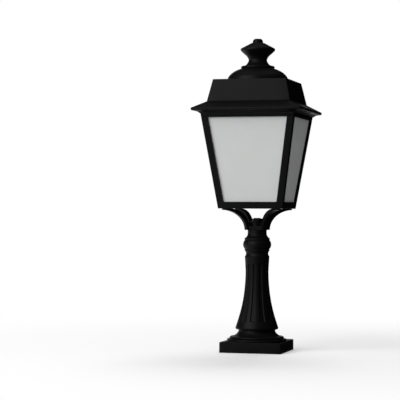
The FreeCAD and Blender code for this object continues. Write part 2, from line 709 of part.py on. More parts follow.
def lantern_floor():
    """Plate inside the lower rail that closes the cage and carries the lamp gear."""
    half = cage_half(FLOOR_FOOT) - CAGE_WALL - SLIP
    notch = cage_half(FLOOR_FOOT) - CORE_INSET - SLIP
    plate = square_plate(half, FLOOR_FOOT, FLOOR_TOP)
    corner = Part.makeBox(half, half, FLOOR_T, Vector(notch, notch, FLOOR_FOOT))
    tools = around(corner)
    tools += [tube(M5[0] + HOLE_GAP, 0, FLOOR_FOOT, FLOOR_TOP, p.x, p.y) for p in arm_screw_places()]
    tools.append(tube(GLAND_R + HOLE_GAP, 0, FLOOR_FOOT, FLOOR_TOP, 0, GLAND_Y))
    for x in bridge_screw_places():
        tools.append(tube(M4[0] + THREAD_GAP, 0, FLOOR_FOOT, FLOOR_TOP, x, 0))
    tools.append(tube(M4[0] + THREAD_GAP, 0, FLOOR_FOOT, FLOOR_TOP, BLOCK_X, earth_y()))
    return single(cut_all(plate, tools))


def leaning_panel(z_low, z_high, outer_inset, inner_inset, side_inset):
    """A flat leaning panel behind the front of the cage, between two depths."""
    rings = []
    for z in (z_low, z_high):
        half = cage_half(z)
        side = half - side_inset
        rings.append([Vector(-side, -half + outer_inset, z), Vector(side, -half + outer_inset, z),
                      Vector(side, -half + inner_inset, z), Vector(-side, -half + inner_inset, z)])
    return polyhedron(rings[0], rings[1])


def panes():
    """Four opal panes that stand on the floor plate behind the posts and rails."""
    outer = CAGE_WALL + SEAL_T
    pane = leaning_panel(FLOOR_TOP, PANE_TOP, outer, outer + PANE_T, CORE_INSET + SLIP)
    return around(pane)


def pane_seals():
    """Four flat seal frames between the cage and the panes."""
    outer = leaning_panel(FLOOR_TOP, PANE_TOP, CAGE_WALL, CAGE_WALL + SEAL_T, CORE_INSET + SLIP)
    opening = leaning_panel(WINDOW_FOOT - SEAL_HIDDEN, WINDOW_TOP + SEAL_HIDDEN, 0, CAGE_WALL + 2 * SEAL_T,
                            POST_FACE - SEAL_HIDDEN)
    return around(single(outer.cut(opening)))


def pane_clips():
    """Spring straps over the posts' cores, two to a post, each with its screw."""
    clips = []
    screws = []
    for z in clip_heights():
        strap = leaning_prism(clip_section, z - CLIP_HEIGHT / 2, z + CLIP_HEIGHT / 2)
        seat, into = clip_screw_line(z)
        hole = Part.makeCylinder(M3[0] + THREAD_GAP, SCREW_BITE, seat - into * CLIP_T, into)
        clips += around(single(strap.cut(hole)))
        screws += around(screw(M3, SCREW_BITE - SLIP, seat, into))
    return clips, screws


# ---------------------------------------------------------------- yoke and stud
def yoke_screw_places():
    """Places along X of the two screws that hold the yoke to the upper flange."""
    place = cage_half(CAGE_TOP - FLANGE_T) - UPPER_FLANGE + YOKE_LAP / 2
    return [-place, place]


def roof_yoke():
    """Flat bar across the cage's top flange, with a hole for the stud in its middle."""
    reach = yoke_screw_places()[1] + YOKE_LAP / 2
    bar = Part.makeBox(2 * reach, YOKE_WIDTH, YOKE_T, Vector(-reach, -YOKE_WIDTH / 2, CAGE_TOP))
    tools = [tube(STUD_R + SLIP, 0, CAGE_TOP, CAGE_TOP + YOKE_T)]
    tools += [tube(M4[0] + HOLE_GAP, 0, CAGE_TOP, CAGE_TOP + YOKE_T, x, 0) for x in yoke_screw_places()]
    return single(cut_all(bar, tools))


def stud_nuts():
    """A nut below and a nut above the yoke."""
    bore = STUD_R + THREAD_GAP
    upper = hex_nut(STUD_NUT_FLATS, bore, CAGE_TOP + YOKE_T, CAGE_TOP + YOKE_T + STUD_NUT_HEIGHT)
    lower = hex_nut(STUD_NUT_FLATS, bore, CAGE_TOP - STUD_NUT_HEIGHT, CAGE_TOP)
    return [lower, upper]


def roof_stud():
    """Long stud from the yoke through the roof into the finial."""
    foot = CAGE_TOP - STUD_NUT_HEIGHT - STUD_BELOW_NUT
    return tube(STUD_R, 0, foot, FINIAL_FOOT + STUD_IN_FINIAL)


# ---------------------------------------------------------------- roof
def gasket_half():
    """Outer half side of the roof seal and of the eave's seat."""
    return cage_half(CAGE_TOP) - SLIP


def roof_gasket():
    """Square seal between the cage's top flange and the eave."""
    outer = square_plate(gasket_half(), CAGE_TOP, EAVE_FOOT)
    return single(outer.cut(square_plate(gasket_half() - GASKET_WIDTH, CAGE_TOP, EAVE_FOOT)))


def roof_eave():
    """Square eave casting: cove, soffit, fascia and slope, hollow inside."""
    cove_half = cage_half(CAGE_TOP) + EAVE_OVERLAP
    tip = EAVE_SIDE / 2
    roof_half = ROOF_FOOT_SIDE / 2
    outer = square_turned([
        (0, EAVE_FOOT),
        (cove_half, EAVE_FOOT),
        ((cove_half + COVE_REACH * COVE_VIA[0], EAVE_FOOT + COVE_RISE * COVE_VIA[1]),
         (cove_half + COVE_REACH, EAVE_FOOT + COVE_RISE)),
        (tip, EAVE_TIP_FOOT),
        (tip, EAVE_TIP_TOP),
        (roof_half, ROOF_FOOT),
        (0, ROOF_FOOT)])
    slope = EAVE_SLOPE_RISE / (tip - roof_half)
    drop = EAVE_WALL * math.sqrt(1 + slope ** 2)
    seat = cove_half - EAVE_SEAT
    edge = tip - EAVE_EDGE
    edge_top = EAVE_TIP_TOP + slope * EAVE_EDGE - drop
    flange_foot = ROOF_FOOT - EAVE_WALL
    flange_outer = edge - (flange_foot - edge_top) / slope
    flange_inner = roof_half - ROOF_FLANGE
    inner = square_turned([
        (0, EAVE_FOOT),
        (seat, EAVE_FOOT),
        (seat, EAVE_FOOT + EAVE_WALL),
        (cove_half, EAVE_FOOT + EAVE_INNER_STEP),
        (edge, EAVE_TIP_FOOT + EAVE_SOFFIT_RISE),
        (edge, edge_top),
        (flange_outer, flange_foot),
        (flange_inner, flange_foot),
        (flange_inner, ROOF_FOOT),
        (0, ROOF_FOOT)])
    body = outer.cut(inner)
    holes = [tube(M4[0] + THREAD_GAP, 0, ROOF_FOOT - EAVE_WALL, ROOF_FOOT, x, y)
             for x, y in roof_screw_places()]
    return single(cut_all(body, holes))


def roof_screw_places():
    """Two places on each side of the roof box's foot flange."""
    across = ROOF_FOOT_SIDE / 2 - ROOF_SCREW_INSET
    places = []
    for along in (-ROOF_SCREW_SPREAD, ROOF_SCREW_SPREAD):
        places += [(along, -across), (across, along), (-along, across), (-across, -along)]
    return places


def dome_screw_places():
    """Four places round the dome's foot."""
    turns = [math.radians(45 + i * 90) for i in range(4)]
    return [(DOME_SCREW_R * math.cos(t), DOME_SCREW_R * math.sin(t)) for t in turns]


def roof_box():
    """Four leaning roof panels with a flat top and an inward foot flange."""
    foot = ROOF_FOOT_SIDE / 2
    top = ROOF_TOP_SIDE / 2
    lean = (foot - top) / ROOF_HEIGHT
    outer = square_turned([(0, ROOF_FOOT), (foot, ROOF_FOOT), (top, ROOF_TOP), (0, ROOF_TOP)])
    flange_inner = foot - ROOF_FLANGE
    inner_foot = foot - lean * ROOF_WALL - ROOF_WALL
    inner_top = top + lean * ROOF_DECK - ROOF_WALL
    inner = square_turned([
        (0, ROOF_FOOT),
        (flange_inner, ROOF_FOOT),
        (flange_inner, ROOF_FOOT + ROOF_WALL),
        (inner_foot, ROOF_FOOT + ROOF_WALL),
        (inner_top, ROOF_TOP - ROOF_DECK),
        (0, ROOF_TOP - ROOF_DECK)])
    tools = [inner, tube(STUD_R + MOVING_GAP, 0, ROOF_TOP - ROOF_DECK, ROOF_TOP)]
    tools += [tube(M4[0] + HOLE_GAP, 0, ROOF_FOOT, ROOF_FOOT + ROOF_WALL, x, y)
              for x, y in roof_screw_places()]
    tools += [tube(M4[0] + HOLE_GAP, 0, ROOF_TOP - ROOF_DECK, ROOF_TOP, x, y)
              for x, y in dome_screw_places()]
    body = outer
    for tool in tools:
        body = body.cut(tool)
    return single(body)


def roof_screws():
    """Screws from inside the roof box down into the eave."""
    seat_z = ROOF_FOOT + ROOF_WALL
    return [screw(M4, ROOF_WALL + EAVE_WALL, Vector(x, y, seat_z)) for x, y in roof_screw_places()]


def dome_edge(radius, rise, foot_z, top_z):
    """An elliptic side from the foot up to top_z, and the radius where it ends."""
    centre = Vector(0, 0, ROOF_TOP)
    ellipse = Part.Ellipse(centre + Vector(radius, 0, 0), centre + Vector(0, 0, rise), centre)
    start = math.asin((foot_z - ROOF_TOP) / rise)
    end = math.asin((top_z - ROOF_TOP) / rise)
    return Part.ArcOfEllipse(ellipse, start, end).toShape(), ellipse.value(start), ellipse.value(end)


def dome_solid(radius, rise, foot_z, top_z):
    """A solid dome with an elliptic side and a flat top."""
    edge, foot, head = dome_edge(radius, rise, foot_z, top_z)
    edges = [
        Part.LineSegment(Vector(0, 0, foot_z), foot).toShape(),
        edge,
        Part.LineSegment(head, Vector(0, 0, top_z)).toShape()]
    return closed_face(edges).revolve(CENTRE, UP, 360)


def roof_dome():
    """Spun dome with a flat land for the finial and an inward foot."""
    body = dome_solid(DOME_R, DOME_RISE, ROOF_TOP, DOME_TOP)
    inner_top = DOME_TOP - DOME_WALL
    body = body.cut(dome_solid(DOME_R - DOME_WALL, DOME_RISE - DOME_WALL, ROOF_TOP + DOME_FOOT_T, inner_top))
    body = body.cut(tube(DOME_R - DOME_FOOT, 0, ROOF_TOP, ROOF_TOP + DOME_FOOT_T))
    body = body.cut(tube(STUD_R + MOVING_GAP, 0, inner_top, DOME_TOP))
    for x, y in dome_screw_places():
        body = body.cut(tube(M4[0] + THREAD_GAP, 0, ROOF_TOP, ROOF_TOP + DOME_FOOT_T, x, y))
    return single(body)


def dome_screws():
    """Screws from inside the roof box up into the dome's foot."""
    seat_z = ROOF_TOP - ROOF_DECK
    return [screw(M4, ROOF_DECK + DOME_FOOT_T, Vector(x, y, seat_z), UP) for x, y in dome_screw_places()]


# ---------------------------------------------------------------- finial
def finial():
    """Turned finial: flange, waist, double-cone head and nub, tapped from below."""
    foot = FINIAL_FOOT
    flange_top = foot + FINIAL_FLANGE_T
    neck_r = FINIAL_FLANGE_R - FINIAL_NECK_SETBACK
    waist = foot + FINIAL_WAIST_RISE
    rim = foot + FINIAL_RIM_RISE
    rim_top = rim + FINIAL_RIM_T
    nub = rim_top + FINIAL_CONE_RISE
    head_r = (FINIAL_WAIST_R + FINIAL_RIM_R) / 2
    body = turned([
        (0, foot),
        (FINIAL_FLANGE_R, foot),
        (FINIAL_FLANGE_R, foot + FINIAL_FLANGE_LAND),
        ((FINIAL_FLANGE_R - FINIAL_FLANGE_BULGE, flange_top - FINIAL_FLANGE_BULGE),
         (FINIAL_FLANGE_R - FINIAL_FLANGE_ROUND, flange_top)),
        (neck_r, flange_top),
        (((neck_r + FINIAL_WAIST_R) / 2 - FINIAL_NECK_SAG[0], (flange_top + waist) / 2 - FINIAL_NECK_SAG[1]),
         (FINIAL_WAIST_R, waist)),
        ((FINIAL_WAIST_R + FINIAL_HEAD_VIA[0], waist + FINIAL_HEAD_VIA[1]),
         (head_r, waist + FINIAL_HEAD_SHARE * (rim - waist))),
        (FINIAL_RIM_R - FINIAL_RIM_SOFTEN[0], rim),
        ((FINIAL_RIM_R, rim + FINIAL_RIM_T / 2), (FINIAL_RIM_R - FINIAL_RIM_SOFTEN[1], rim_top)),
        (FINIAL_CONE_TOP_R, nub),
        (FINIAL_NUB_R, nub + FINIAL_NUB_STEP),
        ((FINIAL_NUB_R - FINIAL_NUB_BARREL, nub + FINIAL_NUB_BARREL * FINIAL_NUB_HEIGHT),
         (FINIAL_NUB_TOP_R, nub + FINIAL_NUB_HEIGHT)),
        (0, nub + FINIAL_NUB_HEIGHT)])
    return single(body.cut(tube(STUD_R + THREAD_GAP, 0, foot, foot + FINIAL_BORE_DEPTH)))


# ---------------------------------------------------------------- lamp gear
def bridge_screw_places():
    """Places along X of the screws that hold the bridge to the floor plate."""
    place = BRIDGE_HALF + BRIDGE_FOOT / 2
    return [-place, place]


def holder_bracket():
    """Bridge of folded strip that lifts the lamp holder off the floor plate."""
    inner = BRIDGE_HALF - BRIDGE_T
    end = BRIDGE_HALF + BRIDGE_FOOT
    top = BRIDGE_TOP
    section = [(-end, FLOOR_TOP), (-inner, FLOOR_TOP), (-inner, top - BRIDGE_T), (inner, top - BRIDGE_T),
               (inner, FLOOR_TOP), (end, FLOOR_TOP), (end, FLOOR_TOP + BRIDGE_T),
               (BRIDGE_HALF, FLOOR_TOP + BRIDGE_T), (BRIDGE_HALF, top), (-BRIDGE_HALF, top),
               (-BRIDGE_HALF, FLOOR_TOP + BRIDGE_T), (-end, FLOOR_TOP + BRIDGE_T)]
    strip = closed_face(outline_edges(section)).extrude(Vector(0, BRIDGE_WIDTH, 0))
    strip.translate(Vector(0, -BRIDGE_WIDTH / 2, 0))
    holes = [tube(M4[0] + HOLE_GAP, 0, FLOOR_TOP, top, x, 0) for x in bridge_screw_places()]
    return single(cut_all(strip, holes))


def lamp_holder():
    """Porcelain holder body with a well for the brass shell."""
    body = tube(HOLDER_R, SHELL_R, HOLDER_SEAT, BRIDGE_TOP + HOLDER_HEIGHT)
    body = body.fuse(tube(HOLDER_R, 0, BRIDGE_TOP, HOLDER_SEAT)).removeSplitter()
    return single(body)


def lamp_bulb():
    """Lamp envelope: neck, flare and round top."""
    neck = LAMP_FOOT + LAMP_CAP_HEIGHT
    top = neck + BULB_HEIGHT
    middle = top - BULB_R
    shoulder = math.radians(-BULB_SHOULDER_ANGLE)
    flare_r = BULB_R * math.cos(shoulder)
    flare_z = middle + BULB_R * math.sin(shoulder)
    flare_foot = flare_z + (flare_r - BULB_NECK_R) / math.tan(shoulder)
    return single(turned([
        (0, neck),
        (BULB_NECK_R, neck),
        (BULB_NECK_R, flare_foot),
        (flare_r, flare_z),
        ((BULB_R, middle), (0, top))]))


def terminal_heights():
    """Foot and top of the terminal block."""
    return FLOOR_TOP, FLOOR_TOP + BLOCK_SIZE[2]


def terminal_block():
    """Three-way terminal block on the floor plate."""
    low, high = terminal_heights()
    corner = Vector(BLOCK_X - BLOCK_SIZE[0] / 2, -BLOCK_SIZE[1] / 2, low)
    block = Part.makeBox(BLOCK_SIZE[0], BLOCK_SIZE[1], BLOCK_SIZE[2], corner)
    wells = [tube(TERMINAL_R + HOLE_GAP, 0, high - TERMINAL_DEPTH, high, BLOCK_X, i * TERMINAL_PITCH)
             for i in (-1, 0, 1)]
    return single(cut_all(block, wells))


def terminal_screws():
    """The three clamp screws in the terminal block."""
    high = terminal_heights()[1]
    return [tube(TERMINAL_R, 0, high - TERMINAL_DEPTH, high - TERMINAL_SINK, BLOCK_X, i * TERMINAL_PITCH)
            for i in (-1, 0, 1)]


def cable_gland():
    """Gland body through the floor plate, bored for the supply cable."""
    thread = tube(GLAND_R, 0, FLOOR_FOOT - GLAND_NUT_T, FLOOR_TOP, 0, GLAND_Y)
    hex_top = FLOOR_TOP + GLAND_HEX_HEIGHT
    body = thread.fuse(hexagon(GLAND_FLATS, FLOOR_TOP, hex_top, 0, GLAND_Y))
    cap = tube(GLAND_CAP_R, 0, hex_top, hex_top + GLAND_CAP_HEIGHT, 0, GLAND_Y)
    body = body.fuse(cap).removeSplitter()
    bore = tube(CABLE_R, 0, FLOOR_FOOT - GLAND_NUT_T, hex_top + GLAND_CAP_HEIGHT, 0, GLAND_Y)
    return single(body.cut(bore))


def earth_y():
    """Place along Y of the earth screw, beyond the terminal block's end."""
    return BLOCK_SIZE[1] / 2 + EARTH_GAP


def wire_along(edges, start, along):
    """A round lead swept along tangent edges."""
    circle = Part.Wire(Part.makeCircle(LEAD_R, start, along))
    return single(Part.Wire(edges).makePipeShell([circle], True, False))


def lamp_lead(y):
    """Lead from the terminal block up to the holder: two like arcs between straight ends."""
    z_low = FLOOR_TOP + LEAD_RISE
    z_high = BRIDGE_TOP + LEAD_RISE
    start_x = BLOCK_X + BLOCK_SIZE[0] / 2
    end_x = -math.sqrt(HOLDER_R ** 2 - y ** 2)
    inside_x = end_x + 2 * LEAD_R
    rise = z_high - z_low
    run = end_x - start_x - 4 * LEAD_R
    bend_x = start_x + 2 * LEAD_R
    radius = (run ** 2 + rise ** 2) / (4 * rise)
    sweep = math.asin(run / 2 / radius)
    middle = Vector(bend_x + run / 2, y, (z_low + z_high) / 2)
    low_via = Vector(bend_x + radius * math.sin(sweep / 2), y, z_low + radius * (1 - math.cos(sweep / 2)))
    high_via = middle * 2 - low_via
    points = [Vector(start_x, y, z_low), Vector(bend_x, y, z_low), Vector(bend_x + run, y, z_high),
              Vector(inside_x, y, z_high)]
    edges = [
        Part.LineSegment(points[0], points[1]).toShape(),
        Part.Arc(points[1], low_via, middle).toShape(),
        Part.Arc(middle, high_via, points[2]).toShape(),
        Part.LineSegment(points[2], points[3]).toShape()]
    lead = wire_along(edges, points[0], Vector(1, 0, 0))
    return single(lead.cut(tube(HOLDER_R, 0, BRIDGE_TOP, BRIDGE_TOP + HOLDER_HEIGHT)))


def earth_lead():
    """Lead from the end of the terminal block over and down on to the earth screw."""
    z_high = FLOOR_TOP + LEAD_RISE + LEAD_BEND_R
    start = Vector(BLOCK_X, BLOCK_SIZE[1] / 2, z_high)
    bend = Vector(BLOCK_X, earth_y() - LEAD_BEND_R, z_high)
    corner = math.sqrt(0.5) * LEAD_BEND_R
    via = bend + Vector(0, corner, corner - LEAD_BEND_R)
    drop = bend + Vector(0, LEAD_BEND_R, -LEAD_BEND_R)
    foot = Vector(BLOCK_X, earth_y(), FLOOR_TOP + M4[2])
    edges = [
        Part.LineSegment(start, bend).toShape(),
        Part.Arc(bend, via, drop).toShape(),
        Part.LineSegment(drop, foot).toShape()]
    return wire_along(edges, start, Vector(0, 1, 0))


# ---------------------------------------------------------------- the assembly
def assembly():
    """Every node by name, as one solid or a list of like solids."""
    low_screws, high_screws = post_screws()
    clips, clip_screws = pane_clips()
    shell_r = SHELL_R - SHELL_WALL
    gland_nut = hex_nut(GLAND_FLATS, GLAND_R + THREAD_GAP, FLOOR_FOOT - GLAND_NUT_T, FLOOR_FOOT, 0, GLAND_Y)
    nodes = {
        "base_plinth": base_plinth(),
        "column_shaft": column_shaft(),
        "capital": capital(),
        "tie_tube": tube(TUBE_R, TUBE_BORE_R, TUBE_FOOT, TUBE_TOP),
        "base_washer": tube(TIE_WASHER_R, TUBE_R + SLIP, TIE_NUT_TOP, TIE_WASHER_TOP),
        "base_nut": hex_nut(TIE_NUT_FLATS, TUBE_R + THREAD_GAP, TIE_NUT_TOP - TIE_NUT_HEIGHT, TIE_NUT_TOP),
        "hub_washer": tube(HUB_WASHER_R, TUBE_R + SLIP, HUB_TOP, HUB_NUT_FOOT),
        "hub_nut": hex_nut(TIE_NUT_FLATS, TUBE_R + THREAD_GAP, HUB_NUT_FOOT, TUBE_TOP),
        "entry_bush": edge_bush(TUBE_FOOT, -1),
        "outlet_bush": edge_bush(TUBE_TOP, 1),
        "arm_bracket": arm_bracket(),
        "bottom_frame": bottom_frame(),
        "top_frame": top_frame(),
        "post_screws_bottom": low_screws,
        "post_screws_top": high_screws,
        "lantern_floor": lantern_floor(),
        "bracket_screws": [screw(M5, FLOOR_TOP - CAGE_FOOT + ARM_SCREW_BITE, place)
                           for place in arm_screw_places()],
        "pane_clips": clips,
        "pane_clip_screws": clip_screws,
        "roof_yoke": roof_yoke(),
        "yoke_screws": [screw(M4, YOKE_T + FLANGE_T, Vector(x, 0, CAGE_TOP + YOKE_T))
                        for x in yoke_screw_places()],
        "roof_stud": roof_stud(),
        "stud_nuts": stud_nuts(),
        "roof_gasket": roof_gasket(),
        "roof_eave": roof_eave(),
        "roof_box": roof_box(),
        "roof_screws": roof_screws(),
        "roof_dome": roof_dome(),
        "dome_screws": dome_screws(),
        "finial_washer": tube(SEAL_WASHER_R, STUD_R + MOVING_GAP, DOME_TOP, FINIAL_FOOT),
        "finial": finial(),
        "holder_bracket": holder_bracket(),
        "holder_screws": [screw(M4, BRIDGE_T + FLOOR_T, Vector(x, 0, FLOOR_TOP + BRIDGE_T))
                          for x in bridge_screw_places()],
        "lamp_holder": lamp_holder(),
        "holder_shell": tube(SHELL_R, shell_r, HOLDER_SEAT, HOLDER_SEAT + SHELL_HEIGHT),
        "holder_contact": tube(CONTACT_R, 0, HOLDER_SEAT, HOLDER_SEAT + CONTACT_T),
        "lamp_cap": tube(LAMP_CAP_R, 0, LAMP_FOOT, LAMP_FOOT + LAMP_CAP_HEIGHT),
        "lamp_bulb": lamp_bulb(),
        "terminal_block": terminal_block(),
        "terminal_screws": terminal_screws(),
        "cable_gland": cable_gland(),
        "gland_nut": gland_nut,
        "live_lead": lamp_lead(TERMINAL_PITCH),
        "neutral_lead": lamp_lead(-TERMINAL_PITCH),
        "earth_lead": earth_lead(),
        "earth_screw": screw(M4, FLOOR_T, Vector(BLOCK_X, earth_y(), FLOOR_TOP)),
    }
    for i, post in enumerate(corner_posts()):
        nodes["corner_post_%d" % (i + 1)] = post
    sides = ("front", "right", "back", "left")
    for side, pane in zip(sides, panes()):
        nodes["pane_" + side] = pane
    for side, seal in zip(sides, pane_seals()):
        nodes["pane_seal_" + side] = seal
    return nodes


os.makedirs("parts", exist_ok=True)
for name, shape in assembly().items():
    if isinstance(shape, list):
        shape = Part.makeCompound(shape)
    if not shape.isValid():
        raise ValueError("the shape of %s isn't valid" % name)
    shape.exportStep("parts/%s.step" % name)
    box = shape.BoundBox
    facts = (name, len(shape.Solids), box.ZMin, box.ZMax, shape.Volume)
    print("%-20s %2d solids, z %7.2f to %7.2f, %9.0f mm3" % facts)
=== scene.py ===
import math

import bpy
import numpy as np
from mathutils import Matrix, Vector


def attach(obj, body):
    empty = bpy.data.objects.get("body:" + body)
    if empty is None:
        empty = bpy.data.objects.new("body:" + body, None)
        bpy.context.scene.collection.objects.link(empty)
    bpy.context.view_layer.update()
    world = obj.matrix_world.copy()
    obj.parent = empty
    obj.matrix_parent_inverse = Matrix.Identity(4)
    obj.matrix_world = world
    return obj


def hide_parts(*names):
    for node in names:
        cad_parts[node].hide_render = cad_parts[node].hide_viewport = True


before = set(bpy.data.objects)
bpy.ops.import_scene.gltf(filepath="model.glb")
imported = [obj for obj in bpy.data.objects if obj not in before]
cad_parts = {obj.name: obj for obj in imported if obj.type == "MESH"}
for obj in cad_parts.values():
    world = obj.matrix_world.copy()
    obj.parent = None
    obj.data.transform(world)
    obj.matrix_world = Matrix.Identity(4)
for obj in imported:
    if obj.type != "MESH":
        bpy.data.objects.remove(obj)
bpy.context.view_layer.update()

# Post top lantern on a short fluted column. Metres, in the frame of the CAD model:
# +Z is up, -Y is the front, and the origin is the middle of the plinth's underside.
# Sizes are written in millimetres, and the points of a profile are (radius, height).
MM = 0.001

# ======================== base plinth
# One aluminium casting: a square block, two torus steps, a cove and a neck, hollow below,
# with four anchor holes. A lip centres the column on it, and the tie tube clamps both.
# Black powder coat covers it all, so its edges are soft.


def linear(code):
    """An sRGB hex colour as linear RGBA.

    A channel c becomes c / 12.92 up to 0.04045, and ((c + 0.055) / 1.055) ** 2.4 above.
    """
    c = np.array([int(code[i:i + 2], 16) for i in (1, 3, 5)]) / 255
    return (*np.where(c <= 0.04045, c / 12.92, ((c + 0.055) / 1.055) ** 2.4), 1.0)


def add(tree, kind, inputs=None, **settings):
    """Adds a node with its settings, and gives each named input a value or a link."""
    made = tree.nodes.new(kind)
    for key, value in settings.items():
        setattr(made, key, value)
    for key, value in (inputs or {}).items():
        if isinstance(value, bpy.types.NodeSocket):
            tree.links.new(value, made.inputs[key])
        else:
            made.inputs[key].default_value = value
    return made


def blank_material(name):
    """A new material with an empty node tree."""
    made = bpy.data.materials.new(name)
    made.use_nodes = True
    made.node_tree.nodes.clear()
    return made, made.node_tree


# Black polyester powder coat, sprayed dry and baked: it flows out to a satin skin with a
# fine orange peel, over the slow waviness of the cast metal. It shows as a soft sheen
# that breaks up slightly, and never as a mirror. Its matting agent scatters most of what
# a clear resin would reflect, so its specular level is far under the usual 0.5.
PEEL_SIZE, PEEL_DEPTH = 1.8 * MM, 0.04 * MM      # one dimple of the orange peel
WAVE_SIZE, WAVE_DEPTH = 24 * MM, 0.25 * MM       # the casting's own unevenness
CLOUD_SIZE = 60 * MM                             # slight changes of film thickness
COAT_THICK, COAT_THIN = "#0A0A0B", "#0F0F10"
COAT_ROUGHNESS = (0.42, 0.48)
COAT_SPECULAR = 0.10
RELIEF = 0.5                                     # how strongly a bump's depth is taken
CLOUD_SPAN = (0.3, 0.7)                          # between these lies most of a noise
COLOUR_A, COLOUR_B, COLOUR_OUT = 6, 7, 2         # a Mix node's colour sockets
powder_coat, tree = blank_material("black_powder_coat")
place = add(tree, "ShaderNodeTexCoord").outputs["Object"]
peel = add(tree, "ShaderNodeTexNoise", {
    "Vector": place, "Scale": 1 / PEEL_SIZE, "Detail": 1.5, "Roughness": 0.45})
wave = add(tree, "ShaderNodeTexNoise", {
    "Vector": place, "Scale": 1 / WAVE_SIZE, "Detail": 2.0, "Roughness": 0.5})
cloud = add(tree, "ShaderNodeTexNoise", {
    "Vector": place, "Scale": 1 / CLOUD_SIZE, "Detail": 3.0, "Roughness": 0.55})
tone = add(tree, "ShaderNodeMix", {
    "Factor": cloud.outputs["Fac"], COLOUR_A: linear(COAT_THICK),
    COLOUR_B: linear(COAT_THIN)}, data_type="RGBA")
gloss = add(tree, "ShaderNodeMapRange", {
    "Value": cloud.outputs["Fac"], "From Min": CLOUD_SPAN[0], "From Max": CLOUD_SPAN[1],
    "To Min": COAT_ROUGHNESS[0], "To Max": COAT_ROUGHNESS[1]})
metal = add(tree, "ShaderNodeBump", {
    "Height": wave.outputs["Fac"], "Strength": RELIEF, "Distance": WAVE_DEPTH})
skin = add(tree, "ShaderNodeBump", {
    "Height": peel.outputs["Fac"], "Strength": RELIEF, "Distance": PEEL_DEPTH,
    "Normal": metal.outputs["Normal"]})
shader = add(tree, "ShaderNodeBsdfPrincipled", {
    "Base Color": tone.outputs[COLOUR_OUT], "Roughness": gloss.outputs["Result"],
    "Normal": skin.outputs["Normal"], "IOR": 1.5, "Specular IOR Level": COAT_SPECULAR})
add(tree, "ShaderNodeOutputMaterial", {"Surface": shader.outputs["BSDF"]})


def softened(outline, edge, closed=True, spacing=9.0, turn=14.0):
    """An outline with its corners rounded as a casting's are, in millimetres.

    The outline is walked in steps of a quarter of edge, blurred along its length with
    weights exp(-(distance / edge) ** 2 / 2), and read again at places where
    length / spacing + bend / turn grows evenly, so that flats have few points and bends
    have many. An open outline keeps its ends.
    """
    points = np.array(outline, float)
    if closed:
        points = np.vstack([points, points[:1]])
    lengths = np.r_[0, np.cumsum(np.linalg.norm(np.diff(points, axis=0), axis=1))]
    count = int(lengths[-1] / (edge / 4)) + 1
    walk = np.linspace(0, lengths[-1], count + 1)
    line = np.stack([np.interp(walk, lengths, points[:, k]) for k in range(2)], axis=1)
    step = lengths[-1] / count
    reach = int(3 * edge / step) + 1
    kernel = np.exp(-0.5 * (np.arange(-reach, reach + 1) * step / edge) ** 2)
    kernel /= kernel.sum()
    if closed:
        ring = line[:-1]
        padded = np.vstack([ring[-reach:], ring, ring[:reach]])
    else:
        head = 2 * line[0] - line[reach:0:-1]
        tail = 2 * line[-1] - line[-2:-reach - 2:-1]
        padded = np.vstack([head, line, tail])
    line = np.stack([np.convolve(padded[:, k], kernel, "valid") for k in range(2)], axis=1)
    if closed:
        line = np.vstack([line, line[:1]])
    way = np.diff(line, axis=0)
    angle = np.unwrap(np.arctan2(way[:, 1], way[:, 0]))
    bend = np.r_[0, np.abs(np.diff(angle)), 0]
    run = np.r_[0, np.linalg.norm(way, axis=1)]
    measure = np.cumsum(run / spacing + np.degrees(bend) / turn)
    wanted = np.linspace(measure[0], measure[-1], int(measure[-1]) + 2)
    picked = np.stack([np.interp(wanted, measure, line[:, k]) for k in range(2)], axis=1)
    return picked[:-1] if closed else picked


def circle_plan(count):
    """Directions of a round plan: the same unit vectors serve as places and as normals."""
    t = np.arange(count) * 2 * math.pi / count
    ring = np.stack([np.cos(t), np.sin(t)], axis=1)
    return ring, ring, 0.0


def square_plan(corner, along=14, bend=6):
    """A square plan whose upright edges have a radius: place (r - corner) S + corner N.

    S runs along each side of the unit square and stays at its corners, where N turns. Its
    places along a side are (u ** 3 + u) / 2 for even steps of u from -1 to 1, which lie
    closer together at the side's middle than at its ends.
    """
    u = np.linspace(-1, 1, along)
    t = u ** 3 * 0.5 + u * 0.5
    a = np.radians(np.linspace(0, 90, bend + 1))[1:-1]
    side = np.stack([np.ones(along), t], axis=1)
    turn = np.stack([np.cos(a), np.sin(a)], axis=1)
    s = np.vstack([side, np.ones((len(a), 2))])
    n = np.vstack([np.tile([1.0, 0.0], (along, 1)), turn])
    quarter = np.array([[0, 1], [-1, 0]])
    turns = [np.linalg.matrix_power(quarter, k) for k in range(4)]
    return np.vstack([s @ q for q in turns]), np.vstack([n @ q for q in turns]), corner


